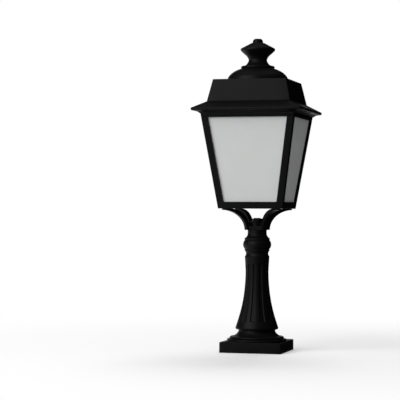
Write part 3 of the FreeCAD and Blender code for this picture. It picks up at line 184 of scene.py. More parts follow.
def carried(profile, plan, roundness=None, closed=True):
    """Carries an (r, z) profile round the Z axis along a plan, in millimetres.

    Point (i, j) is ((r_i - c) S_j + c N_j, z_i). Where roundness is 1 the plan is the
    circle r_i D_j instead, D being the direction of S. A closed profile makes a ring-shaped
    skin. An open one starts and ends on the axis, at one point each.
    """
    s, n, corner = plan
    r = profile[:, 0][:, None, None]
    flat = (r - corner) * s + corner * n
    if roundness is not None:
        d = s / np.linalg.norm(s, axis=1, keepdims=True)
        w = np.asarray(roundness, float)[:, None, None]
        flat = flat * (1 - w) + r * d * w
    rows, count = flat.shape[:2]
    z = np.broadcast_to(profile[:, 1][:, None, None], (rows, count, 1))
    grid = np.concatenate([flat, z], axis=2)
    if not closed:
        grid = grid[1:-1]
        rows -= 2
    i = np.arange(rows if closed else rows - 1)[:, None]
    j = np.arange(count)[None, :]
    a = i * count + j
    b = i * count + (j + 1) % count
    up = (i + 1) % rows * count
    quads = np.stack([a, b, up + (j + 1) % count, up + j], axis=2).reshape(-1, 4).tolist()
    points = grid.reshape(-1, 3)
    if not closed:
        points = np.vstack([points, [0, 0, profile[0, 1]], [0, 0, profile[-1, 1]]])
        foot, head = rows * count, rows * count + 1
        last = (rows - 1) * count
        quads += [[foot, (k + 1) % count, k] for k in range(count)]
        quads += [[head, last + k, last + (k + 1) % count] for k in range(count)]
    return points, quads


def joined(*skins):
    """Several closed skins as one set of points and faces."""
    points, faces, start = [], [], 0
    for p, f in skins:
        points.append(p)
        faces += [[v + start for v in face] for face in f]
        start += len(p)
    return np.vstack(points), faces


def spread(skin, places):
    """One copy of a skin at each (x, y) place."""
    points, faces = skin
    return joined(*[(points + [x, y, 0], faces) for x, y in places])


def new_object(name, skin):
    """An object at the origin, from a skin in millimetres."""
    points, faces = skin
    mesh = bpy.data.meshes.new(name)
    mesh.from_pydata((points * MM).tolist(), [], faces)
    made = bpy.data.objects.new(name, mesh)
    bpy.context.scene.collection.objects.link(made)
    return made


def piece(name, skin, finish, slot, body, *nodes):
    """A smooth piece with a finish, which rides on a body and stands for CAD nodes."""
    made = new_object(name, skin)
    made.data.validate()
    made.data.shade_smooth()
    made.data.materials.append(finish)
    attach(made, body)
    if nodes:
        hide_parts(*nodes)
    return made


def casting(name, skin, body, *nodes):
    """A piece in black powder coat."""
    return piece(name, skin, powder_coat, "black_powder_coat", body, *nodes)


def arc(through, start, end, steps=10):
    """Points of the circle arc from start through a middle point to end, ends included.

    The circle's centre is where the perpendicular bisectors of the three points meet.
    """
    (ax, ay), (bx, by), (cx, cy) = start, through, end
    d = 2 * (ax * (by - cy) + bx * (cy - ay) + cx * (ay - by))
    a2, b2, c2 = ax * ax + ay * ay, bx * bx + by * by, cx * cx + cy * cy
    ux = (a2 * (by - cy) + b2 * (cy - ay) + c2 * (ay - by)) / d
    uy = (a2 * (cx - bx) + b2 * (ax - cx) + c2 * (bx - ax)) / d
    angles = np.unwrap([math.atan2(y - uy, x - ux) for x, y in (start, through, end)])
    t = np.linspace(angles[0], angles[2], steps + 1)
    radius = math.hypot(ax - ux, ay - uy)
    return np.stack([ux + radius * np.cos(t), uy + radius * np.sin(t)], axis=1)


PLINTH_HALF, PLINTH_TOP, PLINTH_WALL, PLINTH_DECK = 80.0, 27.0, 7.0, 6.5
PLINTH_CORNER = 1.6                              # radius of the block's upright edges
STEP_R, LOWER_STEP, UPPER_STEP = 3.0, (74.0, 27.0), (67.0, 33.0)     # the steps' feet
STEP_LEDGE = (67.2, 33.0)
COVE_FOOT, COVE_MIDDLE, COVE_HEAD = (65.5, 39.0), (54.5, 43.25), 51.5
NECK_R, NECK_TOP = 47.5, 57.0
LIP_OUT, LIP_IN, LIP_TOP = 44.3, 41.1, 61.0
TUBE_HOLE = 8.3                                  # the tie tube's way through a casting
HOLLOW_R, HOLLOW_TOP = 41.0, 50.0                # the round hollow under the neck
BLOCK_BEYOND, BLOCK_BELOW = 75.5, 28.0           # these take in the square parts, with
HOLLOW_BEYOND, HOLLOW_BELOW = 45.0, 24.0         # their rounded edges, and end at the steps


def torus_step(foot):
    """A half circle from the step's foot out and up to twice its radius above it."""
    r, z = foot
    return arc((r + STEP_R, z + STEP_R), foot, (r, z + 2 * STEP_R))


inner_wall, deck_under = PLINTH_HALF - PLINTH_WALL, PLINTH_TOP - PLINTH_DECK
plinth_profile = softened(np.vstack([
    [(inner_wall, 0), (PLINTH_HALF, 0), (PLINTH_HALF, PLINTH_TOP)],
    torus_step(LOWER_STEP), [STEP_LEDGE],
    torus_step(UPPER_STEP), [COVE_FOOT],
    arc(COVE_MIDDLE, COVE_FOOT, (NECK_R, COVE_HEAD)),
    [(NECK_R, NECK_TOP), (LIP_OUT, NECK_TOP), (LIP_OUT, LIP_TOP), (LIP_IN, LIP_TOP),
     (LIP_IN, NECK_TOP), (TUBE_HOLE, NECK_TOP), (TUBE_HOLE, HOLLOW_TOP),
     (HOLLOW_R, HOLLOW_TOP), (HOLLOW_R, deck_under), (inner_wall, deck_under)]]), edge=0.55)
# the block and its hollow are square, and the steps, cove and neck are round
r, z = plinth_profile.T
block = (r > BLOCK_BEYOND) & (z < BLOCK_BELOW)
hollow = (r > HOLLOW_BEYOND) & (z < HOLLOW_BELOW)
plinth = casting("plinth_casting",
                 carried(plinth_profile, square_plan(PLINTH_CORNER), ~(block | hollow)),
                 "root", "base_plinth")

ANCHOR_REACH, ANCHOR_R, ANCHOR_CHAMFER = 66.0, 4.5, 1.2
BOSS_R, BOSS_LAP = 10.0, 1.0                     # a boss reaches 1 mm into the deck
DRILL_UNDER, DRILL_OVER = 2.0, 0.5               # how far the drill runs past the metal


def drilled(target, places, outline):
    """Cuts the same turned hole out of a piece at several places, and leaves plain geometry."""
    hole = carried(np.array(outline, float), circle_plan(32), closed=False)
    cutter = new_object("holes", spread(hole, places))
    cut = target.modifiers.new("holes", "BOOLEAN")
    cut.operation = "DIFFERENCE"
    cut.solver = "EXACT"
    cut.object = cutter
    bpy.context.view_layer.update()
    cut_piece = target.evaluated_get(bpy.context.evaluated_depsgraph_get())
    result = bpy.data.meshes.new_from_object(cut_piece)
    target.modifiers.clear()
    target.data = result
    bpy.data.objects.remove(cutter)


ANCHORS = [(x * ANCHOR_REACH, y * ANCHOR_REACH) for x in (-1, 1) for y in (-1, 1)]
drill_end = PLINTH_TOP + DRILL_OVER
drilled(plinth, ANCHORS, [
    (0, -DRILL_UNDER), (ANCHOR_R, -DRILL_UNDER), (ANCHOR_R, drill_end - ANCHOR_CHAMFER),
    (ANCHOR_R + ANCHOR_CHAMFER, drill_end), (0, drill_end)])
boss_top = deck_under + BOSS_LAP
boss = softened([(ANCHOR_R, 0), (BOSS_R, 0), (BOSS_R, boss_top), (ANCHOR_R, boss_top)],
                edge=0.3)
casting("plinth_anchor_bosses", spread(carried(boss, circle_plan(40)), ANCHORS), "root")

# ======================== column
# A bell-shaped aluminium casting with twelve sunk flutes, a plain band and a lip at its
# top, hollow for the tie tube. The flutes have square ends and a soft arris on both
# sides, as a sand casting gives.
COLUMN_LINE = [(60.5, 55.5), (86.67, 47.0), (117.48, 38.9), (148.48, 33.5), (177.02, 30.7),
               (207.07, 29.65), (228.42, 30.7), (244.4, 31.8)]       # (height, radius)
COLUMN_TOP = 246.0
COLUMN_WALL, HOLLOW_FOOT, HOLLOW_HEAD = 5.5, 63.0, 238.0
FOOT_EDGE = [(49.0, 57.0), (53.75, 57.0), (55.5, 60.5), (54.9, 62.4)]
HEAD_EDGE = [(31.7, 243.0), (31.8, 244.4), (30.2, 246.0), (26.0, 246.0)]
FOOT_BORE = 44.6                                 # fits round the plinth's lip
SOCKET_R, SOCKET_FLOOR = 19.3, 242.0             # for the capital's spigot
FLUTES, FLUTE_ANGLE, FLUTE_DEPTH = 12, 16.0, 2.2
FLUTE_FOOT, FLUTE_HEAD, FLUTE_FADE = 77.0, 226.0, 2.0
FLUTE_STEPS = 28                                 # grid columns for each flute and arris
FLUTE_FLATNESS, FLUTE_FALL = 6, 0.6              # a wide floor, and sides that drop fast


def smooth_through(knots, z):
    """The natural cubic spline through (z, r) knots, read at heights z.

    Its second derivatives m solve h0 m0 + 2 (h0 + h1) m1 + h1 m2 = 6 (slope1 - slope0).
    """
    x, y = np.array(knots, float).T
    h = np.diff(x)
    slope = np.diff(y) / h
    system = np.diag(np.r_[1, 2 * (h[:-1] + h[1:]), 1])
    system += np.diag(np.r_[h[:-1], 0], -1) + np.diag(np.r_[0, h[1:]], 1)
    m = np.linalg.solve(system, np.r_[0, 6 * np.diff(slope), 0])
    k = np.clip(np.searchsorted(x, z) - 1, 0, len(h) - 1)
    a, b = x[k + 1] - z, z - x[k]
    return ((m[k] * a ** 3 + m[k + 1] * b ** 3) / (6 * h[k])
            + (y[k] / h[k] - m[k] * h[k] / 6) * a
            + (y[k + 1] / h[k] - m[k + 1] * h[k] / 6) * b)


# even heights, and close ones where a flute starts and ends
heights = np.unique(np.r_[
    np.linspace(COLUMN_LINE[0][0], COLUMN_LINE[-1][0], 90),
    FLUTE_FOOT + np.linspace(-1.5, 3, 10), FLUTE_HEAD + np.linspace(-3, 1.5, 10)])
outside = np.stack([smooth_through(COLUMN_LINE, heights), heights], axis=1)
inner_z = np.linspace(HOLLOW_HEAD, HOLLOW_FOOT, 30)
inside = np.stack([smooth_through(COLUMN_LINE, inner_z) - COLUMN_WALL, inner_z], axis=1)
foot_edge = softened(FOOT_EDGE, edge=0.4, closed=False)
head_edge = softened(HEAD_EDGE, edge=0.35, closed=False)
column_profile = np.vstack([
    [(FOOT_BORE, NECK_TOP)], foot_edge[:-1], outside[1:-1], head_edge[1:],
    [(SOCKET_R, COLUMN_TOP), (SOCKET_R, SOCKET_FLOOR), (TUBE_HOLE, SOCKET_FLOOR),
     (TUBE_HOLE, HOLLOW_HEAD)], inside, [(FOOT_BORE, HOLLOW_FOOT)]])
count = FLUTES * FLUTE_STEPS
points, faces = carried(column_profile, circle_plan(count))
grid = points.reshape(len(column_profile), count, 3)
# across is 0 on a flute's middle line and 1 at its arris, and the flute is sunk by
# (1 - across ** flatness) ** fall; it fades in over 2 mm at either end
pitch = 360 / FLUTES
degrees_round = np.degrees(np.arctan2(grid[..., 1], grid[..., 0])) + 90
across = np.abs((degrees_round + pitch / 2) % pitch - pitch / 2) / (FLUTE_ANGLE / 2)
sunk = np.clip(1 - across ** FLUTE_FLATNESS, 0, 1) ** FLUTE_FALL
z = grid[..., 2]
ends = (np.clip((z - FLUTE_FOOT) / FLUTE_FADE, 0, 1)
        * np.clip((FLUTE_HEAD - z) / FLUTE_FADE, 0, 1))
ends = ends * ends * (3 - 2 * ends)
fluted_rows = np.zeros(len(column_profile))
fluted_rows[len(foot_edge):len(foot_edge) + len(outside) - 2] = 1
depth = FLUTE_DEPTH * sunk * ends * fluted_rows[:, None]
radius = np.hypot(grid[..., 0], grid[..., 1])
grid[..., :2] *= (1 - depth / radius)[..., None]
casting("column_casting", (grid.reshape(-1, 3), faces), "root", "column_shaft")

# ======================== capital
# A turned pattern cast in aluminium: foot, ring, ball, bead, cove and neck, bored for
# the tie tube. Its spigot drops into the column's top.
SPIGOT_R, SPIGOT_FOOT = 19.0, 242.3
CAPITAL_ARCS = [                                 # through, start, end, and steps
    ((28.8, 251.75), (30.4, 246.0), (30.4, 257.5), 10),              # hollow of the foot
    ((32.4, 260.5), (29.4, 257.5), (30.9, 263.5), 10),               # ring
    ((36.4, 275.0), (32.0, 263.5), (32.0, 286.5), 16),               # ball
    ((32.8, 289.25), (31.425, 286.5), (31.425, 292.0), 10),          # bead
    ((26.65, 296.5), (31.425, 292.0), (24.5, 303.0), 10)]            # cove
CAPITAL_NECK, HUB_FOOT = 24.5, 312.5
CAPITAL_HOLLOW, CAPITAL_ROOF = 15.8, 302.5
capital_profile = softened(np.vstack([
    [(SPIGOT_R, SPIGOT_FOOT), (SPIGOT_R, COLUMN_TOP)],
    *[arc(*points) for points in CAPITAL_ARCS],
    [(CAPITAL_NECK, HUB_FOOT), (TUBE_HOLE, HUB_FOOT), (TUBE_HOLE, CAPITAL_ROOF),
     (CAPITAL_HOLLOW, CAPITAL_ROOF), (CAPITAL_HOLLOW, SPIGOT_FOOT)]]), edge=0.4, spacing=6.0)
casting("capital_casting", carried(capital_profile, circle_plan(112)), "root", "capital")

# ======================== arm bracket
# Square collar, hub and four curved arms in one aluminium casting. Each arm is 12 mm
# wide, leaves the collar upright and opens out under the cage's corner, where a screw
# comes down into it.
COLLAR_HALF, COLLAR_TOP, COLLAR_CORNER = 24.6, 323.0, 1.5
HUB_R, HUB_TOP = 20.0, 332.0
ARM_HALF, ARM_ROOT, ARM_TIP, CAGE_FOOT = 6.0, 9.5, 104.0, 367.5     # rooted in the hub
# each side of an arm is part of an ellipse: its centre, its half width and half height
OUTER_CENTRE, OUTER_A, OUTER_B = (105.75, HUB_FOOT), 70.45, 51.5
INNER_CENTRE, INNER_A, INNER_B = (83.0, 317.5), 57.0, 50.0
hub = softened([
    (TUBE_HOLE, HUB_FOOT), (COLLAR_HALF, HUB_FOOT), (COLLAR_HALF, COLLAR_TOP),
    (HUB_R, COLLAR_TOP), (HUB_R, HUB_TOP), (TUBE_HOLE, HUB_TOP)], edge=0.5, spacing=4.0)


def slab(outline, half_width, rim, edge=0.6, spacing=6.0):
    """A flat piece cut to a closed outline, with its rims rounded by a radius.

    Ring k is the outline moved in along its normal by rim (1 - cos a_k), at the height
    half_width - rim (1 - sin a_k), and both faces are closed by one flat face each. The
    rim stays under 0.7 edge, so that no ring crosses itself at a corner.
    """
    line = softened(outline, edge, spacing=spacing)
    way = np.roll(line, -1, axis=0) - np.roll(line, 1, axis=0)
    way /= np.linalg.norm(way, axis=1, keepdims=True)
    area = 0.5 * np.sum(line[:, 0] * np.roll(line[:, 1], -1)
                        - np.roll(line[:, 0], -1) * line[:, 1])
    inward = np.stack([-way[:, 1], way[:, 0]], axis=1) * np.sign(area)
    a = np.radians(np.linspace(0, 90, 5))
    moved = np.r_[rim * (1 - np.cos(a)), rim * 1.25]
    level = np.r_[half_width - rim * (1 - np.sin(a)), half_width]
    moved, level = np.r_[moved[::-1], moved], np.r_[-level[::-1], level]
    flat = line[None] + inward[None] * moved[:, None, None]
    high = np.broadcast_to(level[:, None, None], flat.shape[:2] + (1,))
    grid = np.concatenate([flat, high], axis=2)
    rows, count = grid.shape[:2]
    i, j = np.arange(rows - 1)[:, None], np.arange(count)[None, :]
    a, b = i * count + j, i * count + (j + 1) % count
    quads = np.stack([a, b, b + count, a + count], axis=2).reshape(-1, 4)
    if area < 0:
        quads = quads[:, ::-1]
    lower = list(range(count))
    upper = list(range((rows - 1) * count, rows * count))
    caps = [lower[::-1], upper] if area > 0 else [lower, upper[::-1]]
    return grid.reshape(-1, 3), quads.tolist() + caps


def ellipse(centre, a, b, start, end, steps=28):
    """Points of an ellipse: centre + (a cos t, b sin t), for t in radians from start to end."""
    t = np.linspace(start, end, steps + 1)
    return np.stack([centre[0] + a * np.cos(t), centre[1] + b * np.sin(t)], axis=1)


outer_end = math.acos((OUTER_CENTRE[0] - ARM_TIP) / OUTER_A)
inner_start = math.asin((HUB_TOP - INNER_CENTRE[1]) / INNER_B)
arm_line = np.vstack([
    [(ARM_ROOT, HUB_FOOT)],
    ellipse(OUTER_CENTRE, OUTER_A, OUTER_B, math.pi, math.pi - outer_end),
    [(ARM_TIP, CAGE_FOOT)],
    ellipse(INNER_CENTRE, INNER_A, INNER_B, math.pi / 2, math.pi - inner_start),
    [(ARM_ROOT, HUB_TOP)]])
points, faces = slab(arm_line, ARM_HALF, rim=1.1, edge=1.6, spacing=5.0)
# the collar is square, and the hub on it and the tube's hole are round
hub_round = (hub[:, 0] < HUB_R + 2) | (hub[:, 1] > COLLAR_TOP + 2)
arms = [carried(hub, square_plan(COLLAR_CORNER), hub_round)]
for k in range(4):
    turn = math.radians(45 + 90 * k)
    out = np.array([math.cos(turn), math.sin(turn), 0])
    left = np.array([-math.sin(turn), math.cos(turn), 0])
    upward = np.array([0, 0, 1.0])
    arms.append((points[:, :1] * out - points[:, 2:] * left + points[:, 1:2] * upward, faces))
casting("arm_casting", joined(*arms), "root", "arm_bracket")

# ======================== tie tube
# A threaded steel tube clamps plinth, column, capital and bracket between a nut in the
# plinth and the hub nut on top. It is zinc plated, and nylon bushes line its two ends.


def dress(finish, *names):
    """Puts a material into the slot of CAD nodes whose shapes are right as they are."""
    for node in names:
        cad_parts[node].data.materials[0] = finish


def varied(name, size, low, high, rough, grain, depth, **settings):
    """A finish whose colour and gloss drift with one noise, over a finer grain in relief.

    The noise of the given size mixes the low and high colours and sets the roughness
    within its pair. The grain is a second noise that only lifts the surface, by depth.
    """
    made, tree = blank_material(name)
    place = add(tree, "ShaderNodeTexCoord").outputs["Object"]
    drift = add(tree, "ShaderNodeTexNoise", {
        "Vector": place, "Scale": 1 / size, "Detail": 3.0})
    fine = add(tree, "ShaderNodeTexNoise", {
        "Vector": place, "Scale": 1 / grain, "Detail": 2.0})
    tone = add(tree, "ShaderNodeMix", {
        "Factor": drift.outputs["Fac"], COLOUR_A: linear(low), COLOUR_B: linear(high)},
        data_type="RGBA")
    gloss = add(tree, "ShaderNodeMapRange", {
        "Value": drift.outputs["Fac"], "From Min": CLOUD_SPAN[0], "From Max": CLOUD_SPAN[1],
        "To Min": rough[0], "To Max": rough[1]})
    relief = add(tree, "ShaderNodeBump", {
        "Height": fine.outputs["Fac"], "Strength": RELIEF, "Distance": depth})
    inputs = {"Base Color": tone.outputs[COLOUR_OUT], "Roughness": gloss.outputs["Result"],
              "Normal": relief.outputs["Normal"]}
    inputs.update({key.replace("_", " "): value for key, value in settings.items()})
    shader = add(tree, "ShaderNodeBsdfPrincipled", inputs)
    add(tree, "ShaderNodeOutputMaterial", {"Surface": shader.outputs["BSDF"]})
    return made


# Bright zinc plating, clear passivated, on drawn and rolled steel: a cool grey metal with
# cloudy gloss, never as bright as chrome.
zinc = varied("zinc_plated_steel", 14 * MM, "#A9AEB2", "#C2C6C9", (0.30, 0.44),
              0.9 * MM, 0.01 * MM, Metallic=1.0)
dress(zinc, "tie_tube", "base_washer", "base_nut")
# Black polyamide, moulded in a spark-eroded tool: a dull even skin.
nylon = varied("black_nylon", 20 * MM, "#151617", "#1E1F20", (0.50, 0.62),
               0.6 * MM, 0.02 * MM, IOR=1.53)
dress(nylon, "entry_bush", "outlet_bush")
dress(powder_coat, "hub_nut", "hub_washer")

# ======================== cage
# Lower rail, upper rail and four corner posts, all aluminium castings bolted up at the
# corners. The four sides lean outwards, so every level is the same square at another size.
CAGE_TOP, WINDOW_FOOT, WINDOW_TOP = 607.0, 384.6, 598.7
CAGE_SIDE_FOOT, CAGE_SIDE_TOP = 167.4, 241.7     # the square's side at foot and top
CAGE_LEAN = (CAGE_SIDE_TOP - CAGE_SIDE_FOOT) / 2 / (CAGE_TOP - CAGE_FOOT)
WALL, SCREW_CORE = 4.2, 7.8                      # cast wall, and the square screw cores
RAIL_CORNER = 1.0
CORE_SHORT, CORE_GAP = 0.2, 0.1                  # a core ends inside its rail's two faces
LEDGE_IN, LEDGE_TOP = 69.7, 370.8                # the ledge that the floor plate lies on
GUSSET_LOW, GUSSET_HIGH, GUSSET_HALF = 51.7, 82.7, 1.65      # plates over the arm tips
FLANGE_IN, FLANGE_FOOT = 100.34, 603.7           # the upper rail's inward flange
POST_LEG = 17.3                                  # width of a corner post on each side


def half_at(level):
    """Half the cage's outer side at a height: it grows evenly from the foot."""
    return CAGE_SIDE_FOOT / 2 + CAGE_LEAN * (level - CAGE_FOOT)


def upright(outline, foot, head, rim, edge=0.5):
    """A post whose section moves out along both axes by the cage's lean as it rises."""
    middle, half_height = (foot + head) / 2, (head - foot) / 2
    points, faces = slab(outline, half_height, rim, edge)
    level = points[:, 2] + middle
    shift = half_at(level) - half_at(foot)
    return np.stack([points[:, 0] + shift, points[:, 1] + shift, level], axis=1), faces


def four_times(skin):
    """A skin at the four corners, turned by right angles about the Z axis."""
    points, faces = skin
    turned = []
    for c, s in ((1, 0), (0, 1), (-1, 0), (0, -1)):
        x, y = points[:, 0] * c - points[:, 1] * s, points[:, 0] * s + points[:, 1] * c
        turned.append((np.stack([x, y, points[:, 2]], axis=1), faces))
    return turned


def square_section(low, high):
    """The outline of a square across the diagonal of a corner."""
    return [(low, low), (high, low), (high, high), (low, high)]


def screw_cores(foot, low, high):
    """Square screw cores from low to high, lapped into the wall of a rail's corners."""
    inner, outer = half_at(foot) - WALL - SCREW_CORE, half_at(foot) - WALL / 2
    return four_times(upright(square_section(inner, outer), low, high, rim=0.3))


window_half = half_at(WINDOW_FOOT)
lower_rail = softened([
    (half_at(CAGE_FOOT), CAGE_FOOT), (window_half, WINDOW_FOOT),
    (window_half - WALL, WINDOW_FOOT), (half_at(LEDGE_TOP) - WALL, LEDGE_TOP),
    (LEDGE_IN, LEDGE_TOP), (LEDGE_IN, CAGE_FOOT)], edge=0.45)
gusset_points, gusset_faces = slab(
    square_section(GUSSET_LOW, GUSSET_HIGH), GUSSET_HALF, rim=0.5, edge=0.8)
gusset_points = gusset_points + [0, 0, CAGE_FOOT + GUSSET_HALF]
casting("lower_rail", joined(
    carried(lower_rail, square_plan(RAIL_CORNER)),
    *screw_cores(CAGE_FOOT, CAGE_FOOT + CORE_SHORT, WINDOW_FOOT - CORE_GAP),
    *four_times((gusset_points, gusset_faces))), "root", "bottom_frame")

upper_rail = softened([
    (half_at(WINDOW_TOP), WINDOW_TOP), (half_at(CAGE_TOP), CAGE_TOP), (FLANGE_IN, CAGE_TOP),
    (FLANGE_IN, FLANGE_FOOT), (half_at(FLANGE_FOOT) - WALL, FLANGE_FOOT),
    (half_at(WINDOW_TOP) - WALL, WINDOW_TOP)], edge=0.45)
casting("upper_rail", joined(
    carried(upper_rail, square_plan(RAIL_CORNER)),
    *screw_cores(WINDOW_TOP, WINDOW_TOP + CORE_GAP, CAGE_TOP - CORE_SHORT)),
    "root", "top_frame")

# a post is an angle section with a square screw core inside it
face, leg = window_half - POST_LEG, window_half - WALL
core = window_half - WALL - SCREW_CORE
post_line = [(face, window_half), (face, leg), (core, leg), (core, core), (leg, core),
             (leg, face), (window_half, face), (window_half, window_half)]
posts = four_times(upright(post_line, WINDOW_FOOT, WINDOW_TOP, rim=0.3, edge=0.45))
for k, post in enumerate(posts):
    casting("corner_post_%d_casting" % (k + 1), post, "root", "corner_post_%d" % (k + 1))

# ======================== lantern floor and its screws
# A coated plate closes the cage below. Four screws hold it and the cage to the arms, and
# others join the rails to the posts: stainless steel, cold headed and left bright.
dress(powder_coat, "lantern_floor")
stainless = varied("stainless_screw", 5 * MM, "#B4B2AE", "#C9C8C5", (0.24, 0.36),
                   0.5 * MM, 0.006 * MM, Metallic=1.0)
dress(stainless, "bracket_screws", "post_screws_bottom", "post_screws_top")

# ======================== panes
# Four panes of opal acrylic, 3 mm thick, lie against rubber seals behind the rails and
# posts. Spring straps at the posts hold them in.
SIDES = ("front", "right", "back", "left")
# Opal acrylic sheet, cast with white pigment all through: no lamp or frame shows through
# it, light sinks in a little, and its face has a soft satin gloss.
SHEET_CLOUD = 90 * MM                            # slow change of the pigment's density
SHEET_GRAIN, GRAIN_DEPTH = 2.5 * MM, 0.02 * MM   # faint unevenness of the cast face
SHEET_DENSE, SHEET_PALE = "#E2E4E3", "#E8EBEA"
SHEET_ROUGHNESS = (0.36, 0.46)
opal_acrylic, tree = blank_material("opal_acrylic")
place = add(tree, "ShaderNodeTexCoord").outputs["Object"]
cloud = add(tree, "ShaderNodeTexNoise", {
    "Vector": place, "Scale": 1 / SHEET_CLOUD, "Detail": 2.0})
grain = add(tree, "ShaderNodeTexNoise", {
    "Vector": place, "Scale": 1 / SHEET_GRAIN, "Detail": 2.0})
tone = add(tree, "ShaderNodeMix", {
    "Factor": cloud.outputs["Fac"], COLOUR_A: linear(SHEET_DENSE),
    COLOUR_B: linear(SHEET_PALE)}, data_type="RGBA")
gloss = add(tree, "ShaderNodeMapRange", {
    "Value": grain.outputs["Fac"], "To Min": SHEET_ROUGHNESS[0], "To Max": SHEET_ROUGHNESS[1]})
relief = add(tree, "ShaderNodeBump", {
    "Height": grain.outputs["Fac"], "Strength": 0.3, "Distance": GRAIN_DEPTH})
shader = add(tree, "ShaderNodeBsdfPrincipled", {
    "Base Color": tone.outputs[COLOUR_OUT], "Roughness": gloss.outputs["Result"],
    "Normal": relief.outputs["Normal"], "IOR": 1.49,
    "Subsurface Weight": 0.15, "Subsurface Scale": 2 * MM})
add(tree, "ShaderNodeOutputMaterial", {"Surface": shader.outputs["BSDF"]})
dress(opal_acrylic, *["pane_" + side for side in SIDES])
# EPDM rubber, extruded: black going grey, quite matt, with faint drag lines.
rubber = varied("seal_rubber", 10 * MM, "#131313", "#1E1E1D", (0.72, 0.84),
                0.8 * MM, 0.03 * MM, IOR=1.52)
dress(rubber, *["pane_seal_" + side for side in SIDES])
dress(stainless, "pane_clips", "pane_clip_screws")

# ======================== lamp holder and its bridge
# A zinc-plated bridge, screwed to the floor plate, carries an E27 holder of porcelain
# with brass contacts.
dress(zinc, "holder_bracket")
# Porcelain, slip cast and glazed white: a wet gloss over a surface that waves a little.
porcelain = varied("white_porcelain", 12 * MM, "#E9E7DF", "#F1F0EA", (0.10, 0.18),
                   7 * MM, 0.12 * MM, IOR=1.52)
dress(porcelain, "lamp_holder")
# Brass strip, pressed: yellow metal, handled and slightly dulled.
brass = varied("brass", 8 * MM, "#B08F47", "#CBAA60", (0.26, 0.40),
               0.7 * MM, 0.008 * MM, Metallic=1.0)
dress(brass, "holder_shell", "holder_contact")
dress(stainless, "holder_screws")

# ======================== terminals, gland and leads
# The supply ends at a terminal block beside a nylon gland. Three leads run inside: brown
# and blue to the holder, green and yellow to the earth screw.
# Grey polyamide, moulded: an even, slightly dull skin.
terminal = varied("grey_terminal_plastic", 15 * MM, "#84878A", "#939699", (0.42, 0.52),
                  0.6 * MM, 0.02 * MM, IOR=1.53)
dress(terminal, "terminal_block")
dress(stainless, "terminal_screws", "earth_screw")
dress(nylon, "cable_gland", "gland_nut")
# PVC covering, extruded over the wire: a soft gloss, with a slight ripple along it.
for name, node, dark, light in (("lead_brown", "live_lead", "#4E2C1B", "#5C3623"),
                                ("lead_blue", "neutral_lead", "#1D5796", "#2767A9")):
    covering = varied(name, 9 * MM, dark, light, (0.38, 0.48), 1.2 * MM, 0.02 * MM, IOR=1.53)
    dress(covering, node)
# The earth lead's two colours lie in bands, set slantwise so that they show on every run
# of the lead. A wave texture turns by 20 radians a unit at scale 1.
EARTH_BAND = 5 * MM                              # one green and one yellow stripe
EARTH_GREEN, EARTH_YELLOW = "#2E7D3A", "#D9C22E"
green_yellow, tree = blank_material("lead_green_yellow")
place = add(tree, "ShaderNodeTexCoord").outputs["Object"]
slant = add(tree, "ShaderNodeMapping", {
    "Vector": place, "Rotation": (0.6, 0.7, 0.4)}).outputs["Vector"]
bands = add(tree, "ShaderNodeTexWave", {
    "Vector": slant, "Scale": 2 * math.pi / (20 * EARTH_BAND)})
split = add(tree, "ShaderNodeMapRange", {
    "Value": bands.outputs["Fac"], "From Min": 0.45, "From Max": 0.55})
tone = add(tree, "ShaderNodeMix", {
    "Factor": split.outputs["Result"], COLOUR_A: linear(EARTH_GREEN),
    COLOUR_B: linear(EARTH_YELLOW)}, data_type="RGBA")
shader = add(tree, "ShaderNodeBsdfPrincipled", {
    "Base Color": tone.outputs[COLOUR_OUT], "Roughness": 0.43, "IOR": 1.53})
add(tree, "ShaderNodeOutputMaterial", {"Surface": shader.outputs["BSDF"]})
dress(green_yellow, "earth_lead")

# ======================== lamp
# An E27 lamp: an aluminium cap with a rolled thread, and a blown glass envelope coated
# white inside, which is why it reads as milky gloss and shows no filament.
CAP_FOOT, CAP_TOP, CAP_R = 401.6, 427.6, 13.05
THREAD_PITCH, THREAD_DEPTH = 3.63, 0.55
THREAD_START, THREAD_END = 2.0, 3.0              # the thread fades over these lengths
CAP_ROWS, CAP_COUNT = 92, 72
NECK_RADIUS, NECK_HEAD, SHOULDER = 14.0, 447.6, 458.3
BULB_CENTRE, BULB_R = 477.6, 30.0
heights = np.linspace(CAP_FOOT, CAP_TOP, CAP_ROWS)
angle = np.arange(CAP_COUNT) * 2 * math.pi / CAP_COUNT
# the radius falls by half the thread's depth times 1 - cos, whose phase climbs one pitch
# per turn
phase = 2 * math.pi * heights[:, None] / THREAD_PITCH - angle[None, :]
fade = (np.clip((heights - CAP_FOOT) / THREAD_START, 0, 1)
        * np.clip((CAP_TOP - heights) / THREAD_END, 0, 1))
radius = CAP_R - THREAD_DEPTH * fade[:, None] * (1 - np.cos(phase)) / 2
cap_side = np.stack([np.full(CAP_ROWS, CAP_R), heights], axis=1)
points, faces = carried(np.vstack([[0, CAP_FOOT], cap_side, [0, CAP_TOP]]),
                        circle_plan(CAP_COUNT), closed=False)
points[:-2, :2] *= (radius / CAP_R).reshape(-1, 1)
cap_metal = varied("lamp_cap_aluminium", 6 * MM, "#B3B5B7", "#C6C8C9", (0.24, 0.34),
                   0.6 * MM, 0.006 * MM, Metallic=1.0)
piece("lamp_cap_thread", (points, faces), cap_metal, "lamp_cap_aluminium", "lamp", "lamp_cap")
shoulder_angle = math.asin((SHOULDER - BULB_CENTRE) / BULB_R)
bulb_line = softened(np.vstack([
    [(0, CAP_TOP), (NECK_RADIUS, CAP_TOP), (NECK_RADIUS, NECK_HEAD)],
    ellipse((0, BULB_CENTRE), BULB_R, BULB_R, shoulder_angle, math.pi / 2, steps=48)]),
    edge=1.2, closed=False, spacing=5.0, turn=4.0)
bulb_line[:, 0] = np.maximum(bulb_line[:, 0], 0)
